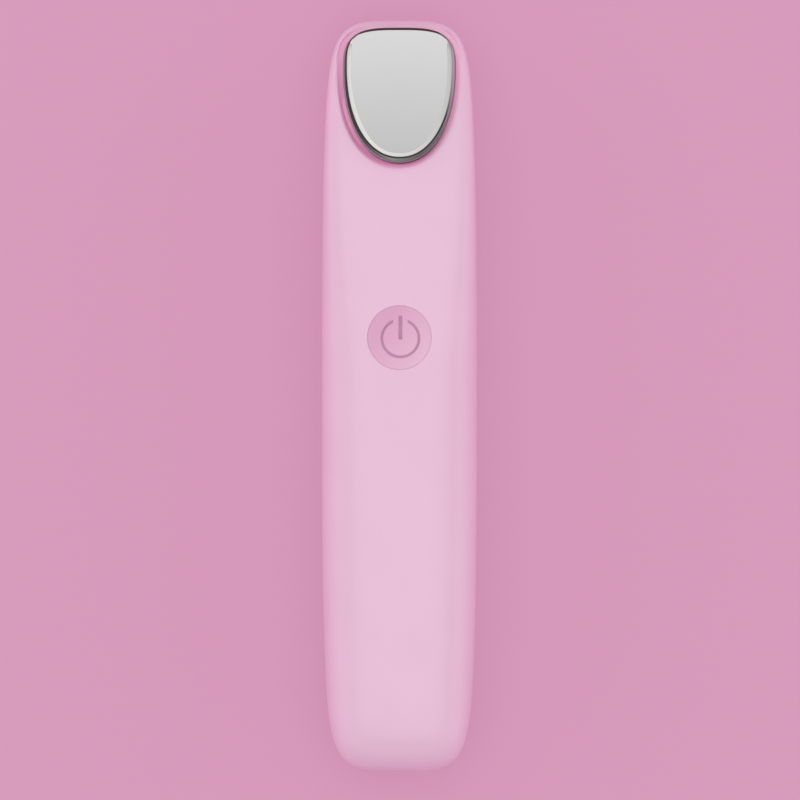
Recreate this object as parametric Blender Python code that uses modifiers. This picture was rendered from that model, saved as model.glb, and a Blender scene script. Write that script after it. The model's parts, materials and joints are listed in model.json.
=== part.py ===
"""A handheld ultrasonic eye massager, built piece by piece at its real size, in metres.

X runs across the wand, Y along it towards the massage head, and Z up through its front.
The wand lies on its back: the feet on its back are at Z = 0, and the origin is under its middle.
"""

import math

import bmesh
import bpy
from mathutils import Vector

# Clearances, cuts and how finely round forms are divided
FIT_GAP = 0.0003  # between pieces that touch
SOLDER_GAP = 0.0001  # under a component on the board
RUNNING_GAP = 0.00005  # round the motor's shaft
CUT_OVERRUN = 0.0020  # how far a cutter passes the surface that it opens
MERGE_DISTANCE = 0.000001
BODY_STEPS = 40
BODY_RINGS = 36
CAVITY_STEPS = 28
CAVITY_RINGS = 24
OUTLINE_STEPS = 52
ROUND_STEPS = 28
SMALL_STEPS = 12
SHARP_ANGLE = math.radians(35)

# Body: a long rounded bar, wider in the middle, whose front slants down at the head
BODY_LENGTH = 0.1360
BODY_WIDTH = 0.0281
BODY_THICKNESS = 0.0190
PARTING_HEIGHT = 0.0082  # the widest plane, where the two shells meet
BACK_LIFT = 0.0002  # of the flat of the back, above the four soft plugs that are its feet
BACK_FLAT_DEPTH = 0.0003  # cut off the crown of the back
WALL = 0.0016
HEAD_WALL = 0.0034  # the front wall's height at the head, which holds the plate's seat
HEAD_LENGTH = 0.0320  # from the tip back to where the front bends down
HEAD_BEND = 0.0040  # how gently it bends
HEAD_WALL_BEFORE = 0.0080  # the front wall grows from here before the bend
HEAD_WALL_AFTER = 0.0040  # to here after it
SQUARE_BEFORE = 0.0360  # the section grows squarer from here before the bend
SQUARE_AFTER = 0.0140  # to here after it
HEAD_SLANT = math.radians(13)
TAPER_SHARE = 0.1235  # of the width, lost towards each end
TAPER_POWER = 3.3
PLAN_END_POWER = 17
PLAN_CORNER_POWER = 4.1
HEAD_END_POWER = 34
TAIL_END_POWER = 14
SIDE_CORNER_POWER = 2.4
SECTION_POWER = 3.0
HEAD_SECTION_POWER = 6
STATION_POWER = 0.5  # crowds the rings of the body's form towards its ends

# Massage plate: a drafted metal cup in a shallow recess, square to the slanted front
PLATE_WIDTH = 0.0203
PLATE_TOP_REACH = 0.0077  # from the widest place towards the tip
PLATE_LOW_REACH = 0.01735  # and towards the handle
PLATE_TOP_POWER = 3.3
PLATE_LOW_POWER = 2.15
PLATE_SETBACK = 0.00155  # from the wand's tip to the plate's edge
PLATE_HEIGHT = 0.0026  # above the bottom of the recess
PLATE_SINK = 0.0002  # below it
PLATE_DRAFT = 0.0007
PLATE_WALL = 0.0008
PLATE_FACE = 0.0008
PLATE_CHAMFER_WIDTH = 0.0008
PLATE_CHAMFER_HEIGHT = 0.0003
RECESS_DEPTH = 0.0012
RECESS_WIDTH = 0.00127
RECESS_LEAST_RISE = 0.00005  # where the tip's own rounding is lower than the recess
SEAT_DEPTH = 0.0012  # of the pocket under the recess
LEDGE_THICKNESS = 0.0010
OPENING_INSET = 0.0024  # from the plate's edge to the opening through the ledge
GASKET_THICKNESS = 0.0004
GASKET_WIDTH = 0.0014
RETAINER_INSET = 0.0010
RETAINER_THICKNESS = 0.0010
RETAINER_BORE_RADIUS = 0.0050

# Ultrasonic transducer under the plate, and the screws that clamp the plate's carrier
PIEZO_RADIUS = 0.0055
PIEZO_THICKNESS = 0.0010
PIEZO_BELOW_WIDEST = 0.0040  # from the plate's widest place towards the handle
PIEZO_ROOM = 0.0006  # between the disc and the carrier's bore
HEAD_SCREW_MARGIN = 0.0016  # from the bore in the carrier to the screw's axis
HEAD_SCREW_RADIUS = 0.00065
HEAD_SCREW_HOLE_RADIUS = 0.0008
HEAD_SCREW_HEAD_RADIUS = 0.0013
HEAD_SCREW_HEAD_HEIGHT = 0.0008
HEAD_SCREW_BITE = 0.0022  # how far it reaches into the carrier
DRIVE_WIDTH = 0.0004  # of the cross in a screw's head
DRIVE_SHARE = 1.2  # the cross's length, of the head's radius
DRIVE_DEPTH_SHARE = 0.5  # and its depth, of the head's height

# Power button: a dished cap whose flange is held under the front wall
BUTTON_FROM_TIP = 0.0575
BUTTON_HOLE_RADIUS = 0.0058
BUTTON_GAP = 0.0002
BUTTON_SETBACK = 0.0001  # its rim below the front's surface
BUTTON_DISH = 0.0008
BUTTON_LIP_DEPTH = 0.0014  # from the crown of the front to the underside of the lip
BUTTON_FLANGE_WIDTH = 0.0010
BUTTON_FLANGE_THICKNESS = 0.0007
BUTTON_FLANGE_ROOM = 0.0004
BUTTON_STEM_RADIUS = 0.0016
BUTTON_TOUCH_GAP = 0.00015  # from the stem to the switch's plunger
BUTTON_DISH_RINGS = 6

# USB socket, at the parting plane in the tail
USB_WIDTH = 0.00894
USB_HEIGHT = 0.00326
USB_LENGTH = 0.00735
USB_METAL = 0.0003
USB_SETBACK = 0.0010  # from the wand's tail to the socket's mouth
USB_OPENING_GAP = 0.0003
USB_BASE_LENGTH = 0.0016
USB_TONGUE_WIDTH = 0.00669
USB_TONGUE_THICKNESS = 0.0007
USB_TONGUE_SETBACK = 0.0008
USB_BASE_GAP = 0.0002

# Circuit board and what is on it
BOARD_WIDTH = 0.0190
BOARD_TAIL_WIDTH = 0.0110
BOARD_TAIL_LENGTH = 0.0058
BOARD_THICKNESS = 0.0010
BOARD_PAST_BUTTON = 0.0140
SWITCH_WIDTH = 0.0060
SWITCH_HEIGHT = 0.0035
SWITCH_EDGE = 0.0003
PLUNGER_RADIUS = 0.00175
PLUNGER_PROUD = 0.0010
PLUNGER_SUNK = 0.0012
PLUNGER_ROOM = 0.0008  # under it, for its travel
LED_SIZE = Vector((0.0016, 0.0008, 0.0007))
LED_FROM_BUTTON = 0.0052
CONTROLLER_SIZE = Vector((0.0050, 0.0050, 0.0009))
CHARGER_SIZE = Vector((0.0040, 0.0030, 0.0010))
TRANSFORMER_SIZE = Vector((0.0083, 0.0076, 0.0046))
TRANSFORMER_SLOT = 0.0006
INDUCTOR_SIZE = Vector((0.0050, 0.0050, 0.0028))
CAPACITOR_RADIUS = 0.0020
CAPACITOR_HEIGHT = 0.0040
CONTROLLER_SHARE = 0.155  # of the way from the button to the tail
TRANSFORMER_SHARE = 0.293
CAPACITOR_SHARE = 0.408
CAPACITOR_SPREAD = 0.0030
INDUCTOR_SHARE = 0.522
CHARGER_SHARE = 0.637
CHIP_EDGE = 0.00015
COIL_EDGE = 0.0006

# Battery in the handle, which fills the room from the tail's screws to the button's parts
BATTERY_WIDTH = 0.0160
BATTERY_THICKNESS = 0.0065
BATTERY_EDGE = 0.0012
BATTERY_LIFT = 0.0026  # above the feet
BATTERY_FROM_TAIL = 0.0160
BATTERY_FROM_BUTTON = 0.0175
PAD_WIDTH = 0.0100
PAD_THICKNESS = 0.0004
PAD_LENGTH_SHARE = 0.8
PROTECTION_WIDTH = 0.0130
PROTECTION_HEIGHT = 0.0045
PROTECTION_THICKNESS = 0.0010
PLUG_SIZE = Vector((0.0060, 0.0045, 0.0022))
PLUG_FROM_BATTERY = 0.0075

# Vibration motor in the neck, and the rubber boot and ribs that hold it
MOTOR_RADIUS = 0.0030
MOTOR_LENGTH = 0.0100
MOTOR_FROM_BOARD = 0.0048
MOTOR_EDGE = 0.0004
SHAFT_RADIUS = 0.0005
SHAFT_LENGTH = 0.0100
SHAFT_PROUD = 0.0042
WEIGHT_RADIUS = 0.0026
WEIGHT_LENGTH = 0.0030
WEIGHT_FROM_MOTOR = 0.0007
WEIGHT_HUB = 0.0010  # left above the axis
BOOT_WALL = 0.0009
BOOT_LENGTH = 0.0066
RIB_THICKNESS = 0.0012
RIB_SPACING = 0.0044
RIB_WIDTH = 0.0106

# Screws that close the two shells, from the back, and the plugs that hide them
SCREW_TAIL_SPREAD = 0.0055  # from the middle, at the tail
SCREW_HEAD_SPREAD = 0.0060  # and near the button
SCREW_FROM_TAIL = 0.0120
SCREW_PAST_BUTTON = 0.0090
SCREW_RADIUS = 0.00085
SCREW_PILOT_RADIUS = 0.0010
SCREW_CLEAR_RADIUS = 0.00115
SCREW_HEAD_RADIUS = 0.0018
SCREW_HEAD_HEIGHT = 0.0012
SCREW_SEAT_HEIGHT = 0.0033  # above the feet
SCREW_REACH = 0.0120
PILOT_SPARE = 0.0006
WELL_WALL = 0.0009
POST_RADIUS = 0.0020
POST_SHOULDER = 0.0008
PLUG_TOP_GAP = 0.0003
PLUG_EDGE = 0.0002

# Leads
LEAD_RADIUS = 0.00045
LEAD_STEPS = 3  # points between two points of a route
LEAD_SPREAD = 0.0013  # between the two leads of a pair
LEAD_END_GAP = 0.0006  # from a slanted lead's end to the board's edge
PIEZO_LEAD_START = Vector((0.0028, -0.0020, 0.0))  # from the disc's middle
PIEZO_LEAD_DROP = 0.0052
PIEZO_LEAD_SIDE = 0.0062
BATTERY_LEAD_SPREAD = 0.0012

# Places that follow from the sizes above
TIP = BODY_LENGTH / 2
TAIL = -BODY_LENGTH / 2
BEND_PLACE = TIP - HEAD_LENGTH
SEAT_PLACE = TIP - PLATE_SETBACK - PLATE_TOP_REACH * math.cos(HEAD_SLANT)
SEAT_HEIGHT = (
    BODY_THICKNESS
    - (SEAT_PLACE - BEND_PLACE) * math.tan(HEAD_SLANT)
    - RECESS_DEPTH / math.cos(HEAD_SLANT)
)
POCKET_FLOOR = -SEAT_DEPTH
LEDGE_UNDERSIDE = POCKET_FLOOR - LEDGE_THICKNESS
PLATE_UNDERSIDE = PLATE_HEIGHT - PLATE_FACE
CARRIER_TOP = PLATE_UNDERSIDE - FIT_GAP
FLANGE_INSET = PLATE_WALL + PLATE_DRAFT + FIT_GAP
NECK_INSET = OPENING_INSET + FIT_GAP
RETAINER_TOP = LEDGE_UNDERSIDE - FIT_GAP
RETAINER_BOTTOM = RETAINER_TOP - RETAINER_THICKNESS
CARRIER_BORE_RADIUS = PIEZO_RADIUS + PIEZO_ROOM
HEAD_SCREW_PLACES = (
    -PIEZO_BELOW_WIDEST + CARRIER_BORE_RADIUS + HEAD_SCREW_MARGIN,
    -PIEZO_BELOW_WIDEST - CARRIER_BORE_RADIUS - HEAD_SCREW_MARGIN,
)
BUTTON_PLACE = TIP - BUTTON_FROM_TIP
HANDLE_LENGTH = BUTTON_PLACE - TAIL
BUTTON_RADIUS = BUTTON_HOLE_RADIUS - BUTTON_GAP
LIP_HEIGHT = BODY_THICKNESS - BUTTON_LIP_DEPTH
BOARD_BOTTOM = PARTING_HEIGHT + USB_HEIGHT / 2 + SOLDER_GAP
BOARD_TOP = BOARD_BOTTOM + BOARD_THICKNESS
BOARD_HEAD = BUTTON_PLACE + BOARD_PAST_BUTTON
USB_MOUTH = TAIL + USB_SETBACK
SWITCH_TOP = BOARD_TOP + SOLDER_GAP + SWITCH_HEIGHT
PLUNGER_TOP = SWITCH_TOP + PLUNGER_PROUD
BATTERY_LOW = TAIL + BATTERY_FROM_TAIL
BATTERY_HIGH = BUTTON_PLACE - BATTERY_FROM_BUTTON
BATTERY_SIZE = Vector((BATTERY_WIDTH, BATTERY_HIGH - BATTERY_LOW, BATTERY_THICKNESS))
PROTECTION_PLACE = BATTERY_HIGH + FIT_GAP + PROTECTION_THICKNESS / 2
MOTOR_REAR = BOARD_HEAD + MOTOR_FROM_BOARD
MOTOR_FRONT = MOTOR_REAR + MOTOR_LENGTH
MOTOR_MIDDLE = (MOTOR_REAR + MOTOR_FRONT) / 2
SCREW_PLACES = [
    (side * spread, along)
    for spread, along in (
        (SCREW_TAIL_SPREAD, TAIL + SCREW_FROM_TAIL),
        (SCREW_HEAD_SPREAD, BUTTON_PLACE + SCREW_PAST_BUTTON),
    )
    for side in (-1, 1)
]
SCREW_WELL_RADIUS = SCREW_HEAD_RADIUS + FIT_GAP


# Collections, materials and objects


def clear_scene():
    for old in list(bpy.data.objects):
        bpy.data.objects.remove(old, do_unlink=True)


def new_collection(name):
    collection = bpy.data.collections.new(name)
    bpy.context.scene.collection.children.link(collection)
    return collection


def new_finish(name, colour, roughness, metallic=0):
    finish = bpy.data.materials.new(name)
    finish.use_nodes = True
    shader = finish.node_tree.nodes["Principled BSDF"]
    shader.inputs["Base Color"].default_value = (*colour, 1)
    shader.inputs["Roughness"].default_value = roughness
    shader.inputs["Metallic"].default_value = metallic
    return finish


clear_scene()
PARTS = new_collection("eye_massager")
CUTTERS = new_collection("cutters")
PINK = new_finish("pink_shell", (0.80, 0.52, 0.67), 0.35)
METAL = new_finish("polished_plate", (0.70, 0.70, 0.69), 0.12, 1)
STEEL = new_finish("steel", (0.55, 0.55, 0.55), 0.3, 1)
BLACK_RUBBER = new_finish("black_rubber", (0.02, 0.02, 0.02), 0.7)
PINK_RUBBER = new_finish("pink_rubber", (0.72, 0.43, 0.58), 0.6)
WHITE_PLASTIC = new_finish("white_plastic", (0.80, 0.80, 0.78), 0.45)
BLACK_PLASTIC = new_finish("black_plastic", (0.03, 0.03, 0.03), 0.45)
BOARD_GREEN = new_finish("board_green", (0.02, 0.18, 0.07), 0.4)
CERAMIC = new_finish("ceramic", (0.75, 0.72, 0.62), 0.5)
CELL_FOIL = new_finish("cell_foil", (0.62, 0.64, 0.66), 0.35, 1)
FOAM = new_finish("foam", (0.10, 0.10, 0.11), 0.9)
RED_WIRE = new_finish("red_wire", (0.55, 0.02, 0.02), 0.4)
BLACK_WIRE = new_finish("black_wire", (0.02, 0.02, 0.02), 0.4)
FERRITE = new_finish("ferrite", (0.07, 0.07, 0.08), 0.6)


def to_mesh(name, form):
    mesh = bpy.data.meshes.new(name)
    form.to_mesh(mesh)
    form.free()
    mesh.shade_smooth()
    mesh.set_sharp_from_angle(angle=SHARP_ANGLE)
    return mesh


def piece(name, form, finish, seat=None):
    """A sub-part of its own, made from a finished form."""
    mesh = to_mesh(name, form)
    mesh.materials.append(finish)
    made = bpy.data.objects.new(name, mesh)
    made.parent = seat
    PARTS.objects.link(made)
    return made


def cutter(name, form, seat=None):
    made = bpy.data.objects.new(name, to_mesh(name, form))
    made.parent = seat
    made.hide_render = True
    made.display_type = "WIRE"
    CUTTERS.objects.link(made)
    return made


def combine(target, other, operation="DIFFERENCE"):
    step = target.modifiers.new(other.name, "BOOLEAN")
    step.object = other
    step.operation = operation


def add_bevel(target, width, segments=2):
    step = target.modifiers.new("rounded_edges", "BEVEL")
    step.width = width
    step.segments = segments
    step.limit_method = "ANGLE"
    step.angle_limit = SHARP_ANGLE


# Forms


def block(size, centre):
    form = bmesh.new()
    bmesh.ops.create_cube(form, size=1)
    bmesh.ops.scale(form, verts=form.verts, vec=size)
    bmesh.ops.translate(form, verts=form.verts, vec=centre)
    return form


def slab(low, high):
    """A block between two opposite corners."""
    low, high = Vector(low), Vector(high)
    return block(high - low, (low + high) / 2)


def round_outline(turn, radius):
    return radius * math.cos(turn), radius * math.sin(turn)


def stack(levels, outline, steps, centre=(0, 0), form=None):
    """A closed form through copies of an outline, each at its height and with its own size."""
    whole = form or bmesh.new()
    ring = bmesh.ops.create_circle(whole, cap_ends=True, radius=1, segments=steps)["verts"]
    top = list({face for corner in ring for face in corner.link_faces})
    corners = list(ring)
    for level in range(1, len(levels)):
        grown = bmesh.ops.extrude_face_region(whole, geom=top)["geom"]
        if level > 1:
            bmesh.ops.delete(whole, geom=top, context="FACES_ONLY")
        top = [part for part in grown if isinstance(part, bmesh.types.BMFace)]
        ring = [part for part in grown if isinstance(part, bmesh.types.BMVert)]
        bmesh.ops.translate(whole, verts=ring, vec=(0, 0, 1))
        corners += ring
    bmesh.ops.recalc_face_normals(whole, faces=whole.faces)
    for corner in corners:
        height, size = levels[round(corner.co.z)]
        turn = math.atan2(corner.co.y, corner.co.x)
        across, along = outline(turn, size)
        up = height(turn) if callable(height) else height
        corner.co = (centre[0] + across, centre[1] + along, up)
    return whole


def posts(levels, places, steps=SMALL_STEPS):
    """Equal round posts, side by side in one form."""
    form = bmesh.new()
    for place in places:
        stack(levels, round_outline, steps, place, form)
    return form


def turned(name, profile, finish, place, steps=ROUND_STEPS, lies_along=False, seat=None):
    """A piece turned from a profile that runs down its outer side, or a closed ring's profile."""
    form = bmesh.new()
    corners = [form.verts.new((radius, 0, height)) for radius, height in profile]
    for start, end in zip(corners, corners[1:]):
        form.edges.new((start, end))
    if profile[0][0] > 0:
        form.edges.new((corners[-1], corners[0]))
    made = piece(name, form, finish, seat)
    made.location = place
    if lies_along:
        made.rotation_euler.x = -math.pi / 2
    step = made.modifiers.new("turn", "SCREW")
    step.steps = step.render_steps = steps
    step.use_merge_vertices = True
    step.merge_threshold = MERGE_DISTANCE
    step.use_smooth_shade = False
    return made


def pill(width, height, low, high, centre_height, steps=ROUND_STEPS):
    """A bar along Y with a pill-shaped section, from two half rounds pulled apart."""
    form = bmesh.new()
    bmesh.ops.create_cone(
        form,
        cap_ends=True,
        segments=steps,
        radius1=height / 2,
        radius2=height / 2,
        depth=high - low,
    )
    for corner in form.verts:
        across, up, along = corner.co
        across += math.copysign((width - height) / 2, across)
        corner.co = (across, (low + high) / 2 - along, centre_height + up)
    return form


# Shape of the body


def smooth_step(value, start, end):
    share = min(max((value - start) / (end - start), 0), 1)
    return share * share * (3 - 2 * share)


def signed_power(value, power):
    return math.copysign(abs(value) ** power, value)


def end_rounding(share, end_power, corner_power):
    return (1 - share**end_power) ** (1 / corner_power)


def front_line(along):
    """Height of the front's middle line before its ends are rounded: level, then slanting down."""
    past = (along - BEND_PLACE) / HEAD_BEND
    return BODY_THICKNESS - HEAD_BEND * math.log1p(math.exp(past)) * math.tan(HEAD_SLANT)


def body_section(along, wall=0, head_wall=0):
    """Half width, front height, back depth and front squareness of the section at a place."""
    share = min(abs(along) / (BODY_LENGTH / 2 - wall), 1)
    taper = 1 - TAPER_SHARE * share**TAPER_POWER
    plan = end_rounding(share, PLAN_END_POWER, PLAN_CORNER_POWER)
    half_width = (BODY_WIDTH / 2 * taper - wall) * plan
    in_head = smooth_step(along, BEND_PLACE - HEAD_WALL_BEFORE, BEND_PLACE + HEAD_WALL_AFTER)
    front_wall = wall + (head_wall - wall) * in_head
    front_power = HEAD_END_POWER if along > 0 else TAIL_END_POWER
    front = front_line(along) - PARTING_HEIGHT - front_wall
    front *= end_rounding(share, front_power, SIDE_CORNER_POWER)
    back = PARTING_HEIGHT - BACK_LIFT + BACK_FLAT_DEPTH - wall
    back *= end_rounding(share, TAIL_END_POWER, SIDE_CORNER_POWER)
    in_square = smooth_step(along, BEND_PLACE - SQUARE_BEFORE, BEND_PLACE + SQUARE_AFTER)
    squareness = SECTION_POWER + (HEAD_SECTION_POWER - SECTION_POWER) * in_square
    return half_width, front, back, squareness


def body_form(steps, rings, wall=0, head_wall=0):
    """The body's form, or the cavity's when a wall is given, from a sphere reshaped ring by ring."""
    form = bmesh.new()
    bmesh.ops.create_uvsphere(form, u_segments=steps, v_segments=rings, radius=1)
    for corner in form.verts:
        turn = math.atan2(corner.co.y, corner.co.x)
        share = signed_power(min(max(corner.co.z, -1), 1), STATION_POWER)
        along = share * (BODY_LENGTH / 2 - wall)
        half_width, front, back, squareness = body_section(along, wall, head_wall)
        height, power = (front, squareness) if math.sin(turn) > 0 else (back, SECTION_POWER)
        across = half_width * signed_power(math.cos(turn), 2 / power)
        up = PARTING_HEIGHT + height * signed_power(math.sin(turn), 2 / power)
        corner.co = (across, along, max(up, BACK_LIFT))
    bmesh.ops.recalc_face_normals(form, faces=form.faces)
    return form


def front_surface(across, along):
    """Height of the body's front at a place."""
    half_width, front, _, squareness = body_section(along)
    share = min(abs(across) / max(half_width, FIT_GAP), 1)
    return PARTING_HEIGHT + front * (1 - share**squareness) ** (1 / squareness)


# The plate's seat: its own frame on the slanted head, X across, Y towards the tip, Z out


def seat_to_body(across, along, out):
    """A point of the seat's frame, in the body's frame."""
    return Vector(
        (
            across,
            SEAT_PLACE + along * math.cos(HEAD_SLANT) + out * math.sin(HEAD_SLANT),
            SEAT_HEIGHT - along * math.sin(HEAD_SLANT) + out * math.cos(HEAD_SLANT),
        )
    )


def plate_outline(turn, inset):
    """A point of the plate's outline, moved in square to it by an inset."""
    towards_tip = math.sin(turn) >= 0
    reach = PLATE_TOP_REACH if towards_tip else PLATE_LOW_REACH
    power = PLATE_TOP_POWER if towards_tip else PLATE_LOW_POWER
    across = signed_power(math.cos(turn), 2 / power)
    along = signed_power(math.sin(turn), 2 / power)
    out_across = signed_power(across, power - 1) / (PLATE_WIDTH / 2)
    out_along = signed_power(along, power - 1) / reach
    length = math.hypot(out_across, out_along)
    return (
        PLATE_WIDTH / 2 * across - inset * out_across / length,
        reach * along - inset * out_along / length,
    )


def recess_rise(turn):
    """How far the body's surface is above the recess's bottom, over the recess's outer edge."""
    across, along = plate_outline(turn, -RECESS_WIDTH)
    rise = RECESS_DEPTH
    for _ in range(4):
        place = seat_to_body(across, along, rise)
        rise += (front_surface(place.x, place.y) - place.z) * math.cos(HEAD_SLANT)
    return max(rise, RECESS_LEAST_RISE)


def plate_stack(levels):
    return stack(levels, plate_outline, OUTLINE_STEPS)


def make_seat():
    seat = bpy.data.objects.new("head_seat", None)
    seat.location = (0, SEAT_PLACE, SEAT_HEIGHT)
    seat.rotation_euler.x = -HEAD_SLANT
    PARTS.objects.link(seat)
    return seat


# Shells


def cut_port(shell):
    opening = pill(
        USB_WIDTH + 2 * USB_OPENING_GAP,
        USB_HEIGHT + 2 * USB_OPENING_GAP,
        TAIL - CUT_OVERRUN,
        USB_MOUTH + CUT_OVERRUN,
        PARTING_HEIGHT,
    )
    combine(shell, cutter(shell.name + "_port", opening))


def cut_half(shell, low, high):
    """Takes away the other shell's half of the form."""
    size = (BODY_WIDTH + CUT_OVERRUN, BODY_LENGTH + CUT_OVERRUN)
    half = slab((-size[0], -size[1], low), (size[0], size[1], high))
    combine(shell, cutter(shell.name + "_other_half", half))


def make_inner_skin(name):
    """A form that ends in the middle of the shell's wall."""
    return cutter(name, body_form(CAVITY_STEPS, CAVITY_RINGS, WALL / 2, HEAD_WALL / 2))


def join_inside(shell, other, skin):
    """Joins a post or rib to a shell, trimmed so that it ends within the wall."""
    combine(other, skin, "INTERSECT")
    combine(shell, other, "UNION")


def make_front_housing(seat):
    shell = piece("front_housing", body_form(BODY_STEPS, BODY_RINGS), PINK)
    cavity = body_form(CAVITY_STEPS, CAVITY_RINGS, WALL, HEAD_WALL)
    combine(shell, cutter("front_cavity", cavity))
    skin = make_inner_skin("front_skin")
    shoulder = POST_RADIUS + POST_SHOULDER
    shoulder_height = BOARD_TOP + FIT_GAP
    post = [
        (PARTING_HEIGHT, POST_RADIUS),
        (shoulder_height, POST_RADIUS),
        (shoulder_height, shoulder),
        (BODY_THICKNESS, shoulder),
    ]
    join_inside(shell, cutter("front_posts", posts(post, SCREW_PLACES)), skin)
    pilot = [
        (PARTING_HEIGHT - CUT_OVERRUN, SCREW_PILOT_RADIUS),
        (SCREW_REACH + PILOT_SPARE, SCREW_PILOT_RADIUS),
    ]
    combine(shell, cutter("pilot_holes", posts(pilot, SCREW_PLACES)))
    cut_half(shell, -CUT_OVERRUN, PARTING_HEIGHT + FIT_GAP / 2)
    recess = plate_stack(
        [
            (POCKET_FLOOR, -FIT_GAP),
            (0, -FIT_GAP),
            (recess_rise, -RECESS_WIDTH),
            (PLATE_HEIGHT + CUT_OVERRUN, -RECESS_WIDTH),
        ]
    )
    combine(shell, cutter("plate_recess", recess, seat))
    opening = plate_stack(
        [
            (LEDGE_UNDERSIDE - CUT_OVERRUN, OPENING_INSET),
            (POCKET_FLOOR + CUT_OVERRUN, OPENING_INSET),
        ]
    )
    combine(shell, cutter("plate_opening", opening, seat))
    room = plate_stack(
        [
            (RETAINER_BOTTOM - CUT_OVERRUN, RETAINER_INSET - FIT_GAP),
            (LEDGE_UNDERSIDE, RETAINER_INSET - FIT_GAP),
        ]
    )
    combine(shell, cutter("retainer_room", room, seat))
    flange_room = BUTTON_HOLE_RADIUS + BUTTON_FLANGE_WIDTH + BUTTON_FLANGE_ROOM
    hole = stack(
        [
            (LIP_HEIGHT - BUTTON_LIP_DEPTH - CUT_OVERRUN, flange_room),
            (LIP_HEIGHT, flange_room),
            (LIP_HEIGHT, BUTTON_HOLE_RADIUS),
            (BODY_THICKNESS + CUT_OVERRUN, BUTTON_HOLE_RADIUS),
        ],
        round_outline,
        ROUND_STEPS,
        (0, BUTTON_PLACE),
    )
    combine(shell, cutter("button_hole", hole))
    cut_port(shell)
    return shell


def make_rear_housing():
    shell = piece("rear_housing", body_form(BODY_STEPS, BODY_RINGS), PINK)
    cavity = body_form(CAVITY_STEPS, CAVITY_RINGS, WALL, HEAD_WALL)
    combine(shell, cutter("rear_cavity", cavity))
    skin = make_inner_skin("rear_skin")
    well = SCREW_WELL_RADIUS + WELL_WALL
    post = [(0, well), (PARTING_HEIGHT, well)]
    join_inside(shell, cutter("rear_posts", posts(post, SCREW_PLACES)), skin)
    for number, side in enumerate((-1, 1), 1):
        along = MOTOR_MIDDLE + side * RIB_SPACING / 2
        rib = slab(
            (-RIB_WIDTH / 2, along - RIB_THICKNESS / 2, 0),
            (RIB_WIDTH / 2, along + RIB_THICKNESS / 2, PARTING_HEIGHT),
        )
        join_inside(shell, cutter(f"motor_rib_{number}", rib), skin)
    boot_room = 2 * (MOTOR_RADIUS + FIT_GAP + BOOT_WALL + FIT_GAP)
    cradle = pill(boot_room, boot_room, MOTOR_REAR, MOTOR_FRONT, PARTING_HEIGHT)
    combine(shell, cutter("motor_cradle", cradle))
    wells = [
        (-CUT_OVERRUN, SCREW_WELL_RADIUS),
        (SCREW_SEAT_HEIGHT, SCREW_WELL_RADIUS),
        (SCREW_SEAT_HEIGHT, SCREW_CLEAR_RADIUS),
        (PARTING_HEIGHT + CUT_OVERRUN, SCREW_CLEAR_RADIUS),
    ]
    combine(shell, cutter("screw_wells", posts(wells, SCREW_PLACES)))
    cut_half(shell, PARTING_HEIGHT - FIT_GAP / 2, BODY_THICKNESS + CUT_OVERRUN)
    cut_port(shell)
    return shell


# Massage head


def make_plate(seat):
    plate = plate_stack(
        [
            (-PLATE_SINK, 0),
            (PLATE_HEIGHT - PLATE_CHAMFER_HEIGHT, PLATE_DRAFT),
            (PLATE_HEIGHT, PLATE_DRAFT + PLATE_CHAMFER_WIDTH),
        ]
    )
    plate = piece("massage_plate", plate, METAL, seat)
    hollow = plate_stack(
        [
            (-PLATE_SINK - CUT_OVERRUN, PLATE_WALL),
            (-PLATE_SINK, PLATE_WALL),
            (PLATE_UNDERSIDE, PLATE_WALL + PLATE_DRAFT),
        ]
    )
    combine(plate, cutter("plate_hollow", hollow, seat))


def make_gasket(seat):
    bottom = POCKET_FLOOR + FIT_GAP
    top = bottom + GASKET_THICKNESS
    gasket = piece("plate_gasket", plate_stack([(bottom, 0), (top, 0)]), BLACK_RUBBER, seat)
    inside = plate_stack([(bottom - CUT_OVERRUN, GASKET_WIDTH), (top + CUT_OVERRUN, GASKET_WIDTH)])
    combine(gasket, cutter("gasket_inside", inside, seat))


def seat_bore(name, radius, seat):
    """A bore through the carrier or the retainer, round the ultrasonic disc."""
    levels = [(RETAINER_BOTTOM - CUT_OVERRUN, radius), (PLATE_HEIGHT, radius)]
    bore = stack(levels, round_outline, ROUND_STEPS, (0, -PIEZO_BELOW_WIDEST))
    return cutter(name, bore, seat)


def make_carrier(seat):
    flange_bottom = POCKET_FLOOR + FIT_GAP
    carrier = plate_stack(
        [
            (LEDGE_UNDERSIDE, NECK_INSET),
            (flange_bottom, NECK_INSET),
            (flange_bottom, FLANGE_INSET),
            (CARRIER_TOP, FLANGE_INSET),
        ]
    )
    carrier = piece("plate_carrier", carrier, WHITE_PLASTIC, seat)
    combine(carrier, seat_bore("carrier_bore", CARRIER_BORE_RADIUS, seat))
    holes = [
        (LEDGE_UNDERSIDE - CUT_OVERRUN, HEAD_SCREW_HOLE_RADIUS),
        (LEDGE_UNDERSIDE + HEAD_SCREW_BITE + FIT_GAP, HEAD_SCREW_HOLE_RADIUS),
    ]
    places = [(0, along) for along in HEAD_SCREW_PLACES]
    combine(carrier, cutter("carrier_screw_holes", posts(holes, places), seat))


def make_retainer(seat):
    retainer = plate_stack([(RETAINER_BOTTOM, RETAINER_INSET), (RETAINER_TOP, RETAINER_INSET)])
    retainer = piece("plate_retainer", retainer, WHITE_PLASTIC, seat)
    combine(retainer, seat_bore("retainer_bore", RETAINER_BORE_RADIUS, seat))
    holes = [
        (RETAINER_BOTTOM - CUT_OVERRUN, HEAD_SCREW_HOLE_RADIUS),
        (RETAINER_TOP + CUT_OVERRUN, HEAD_SCREW_HOLE_RADIUS),
    ]
    places = [(0, along) for along in HEAD_SCREW_PLACES]
    combine(retainer, cutter("retainer_screw_holes", posts(holes, places), seat))


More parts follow.
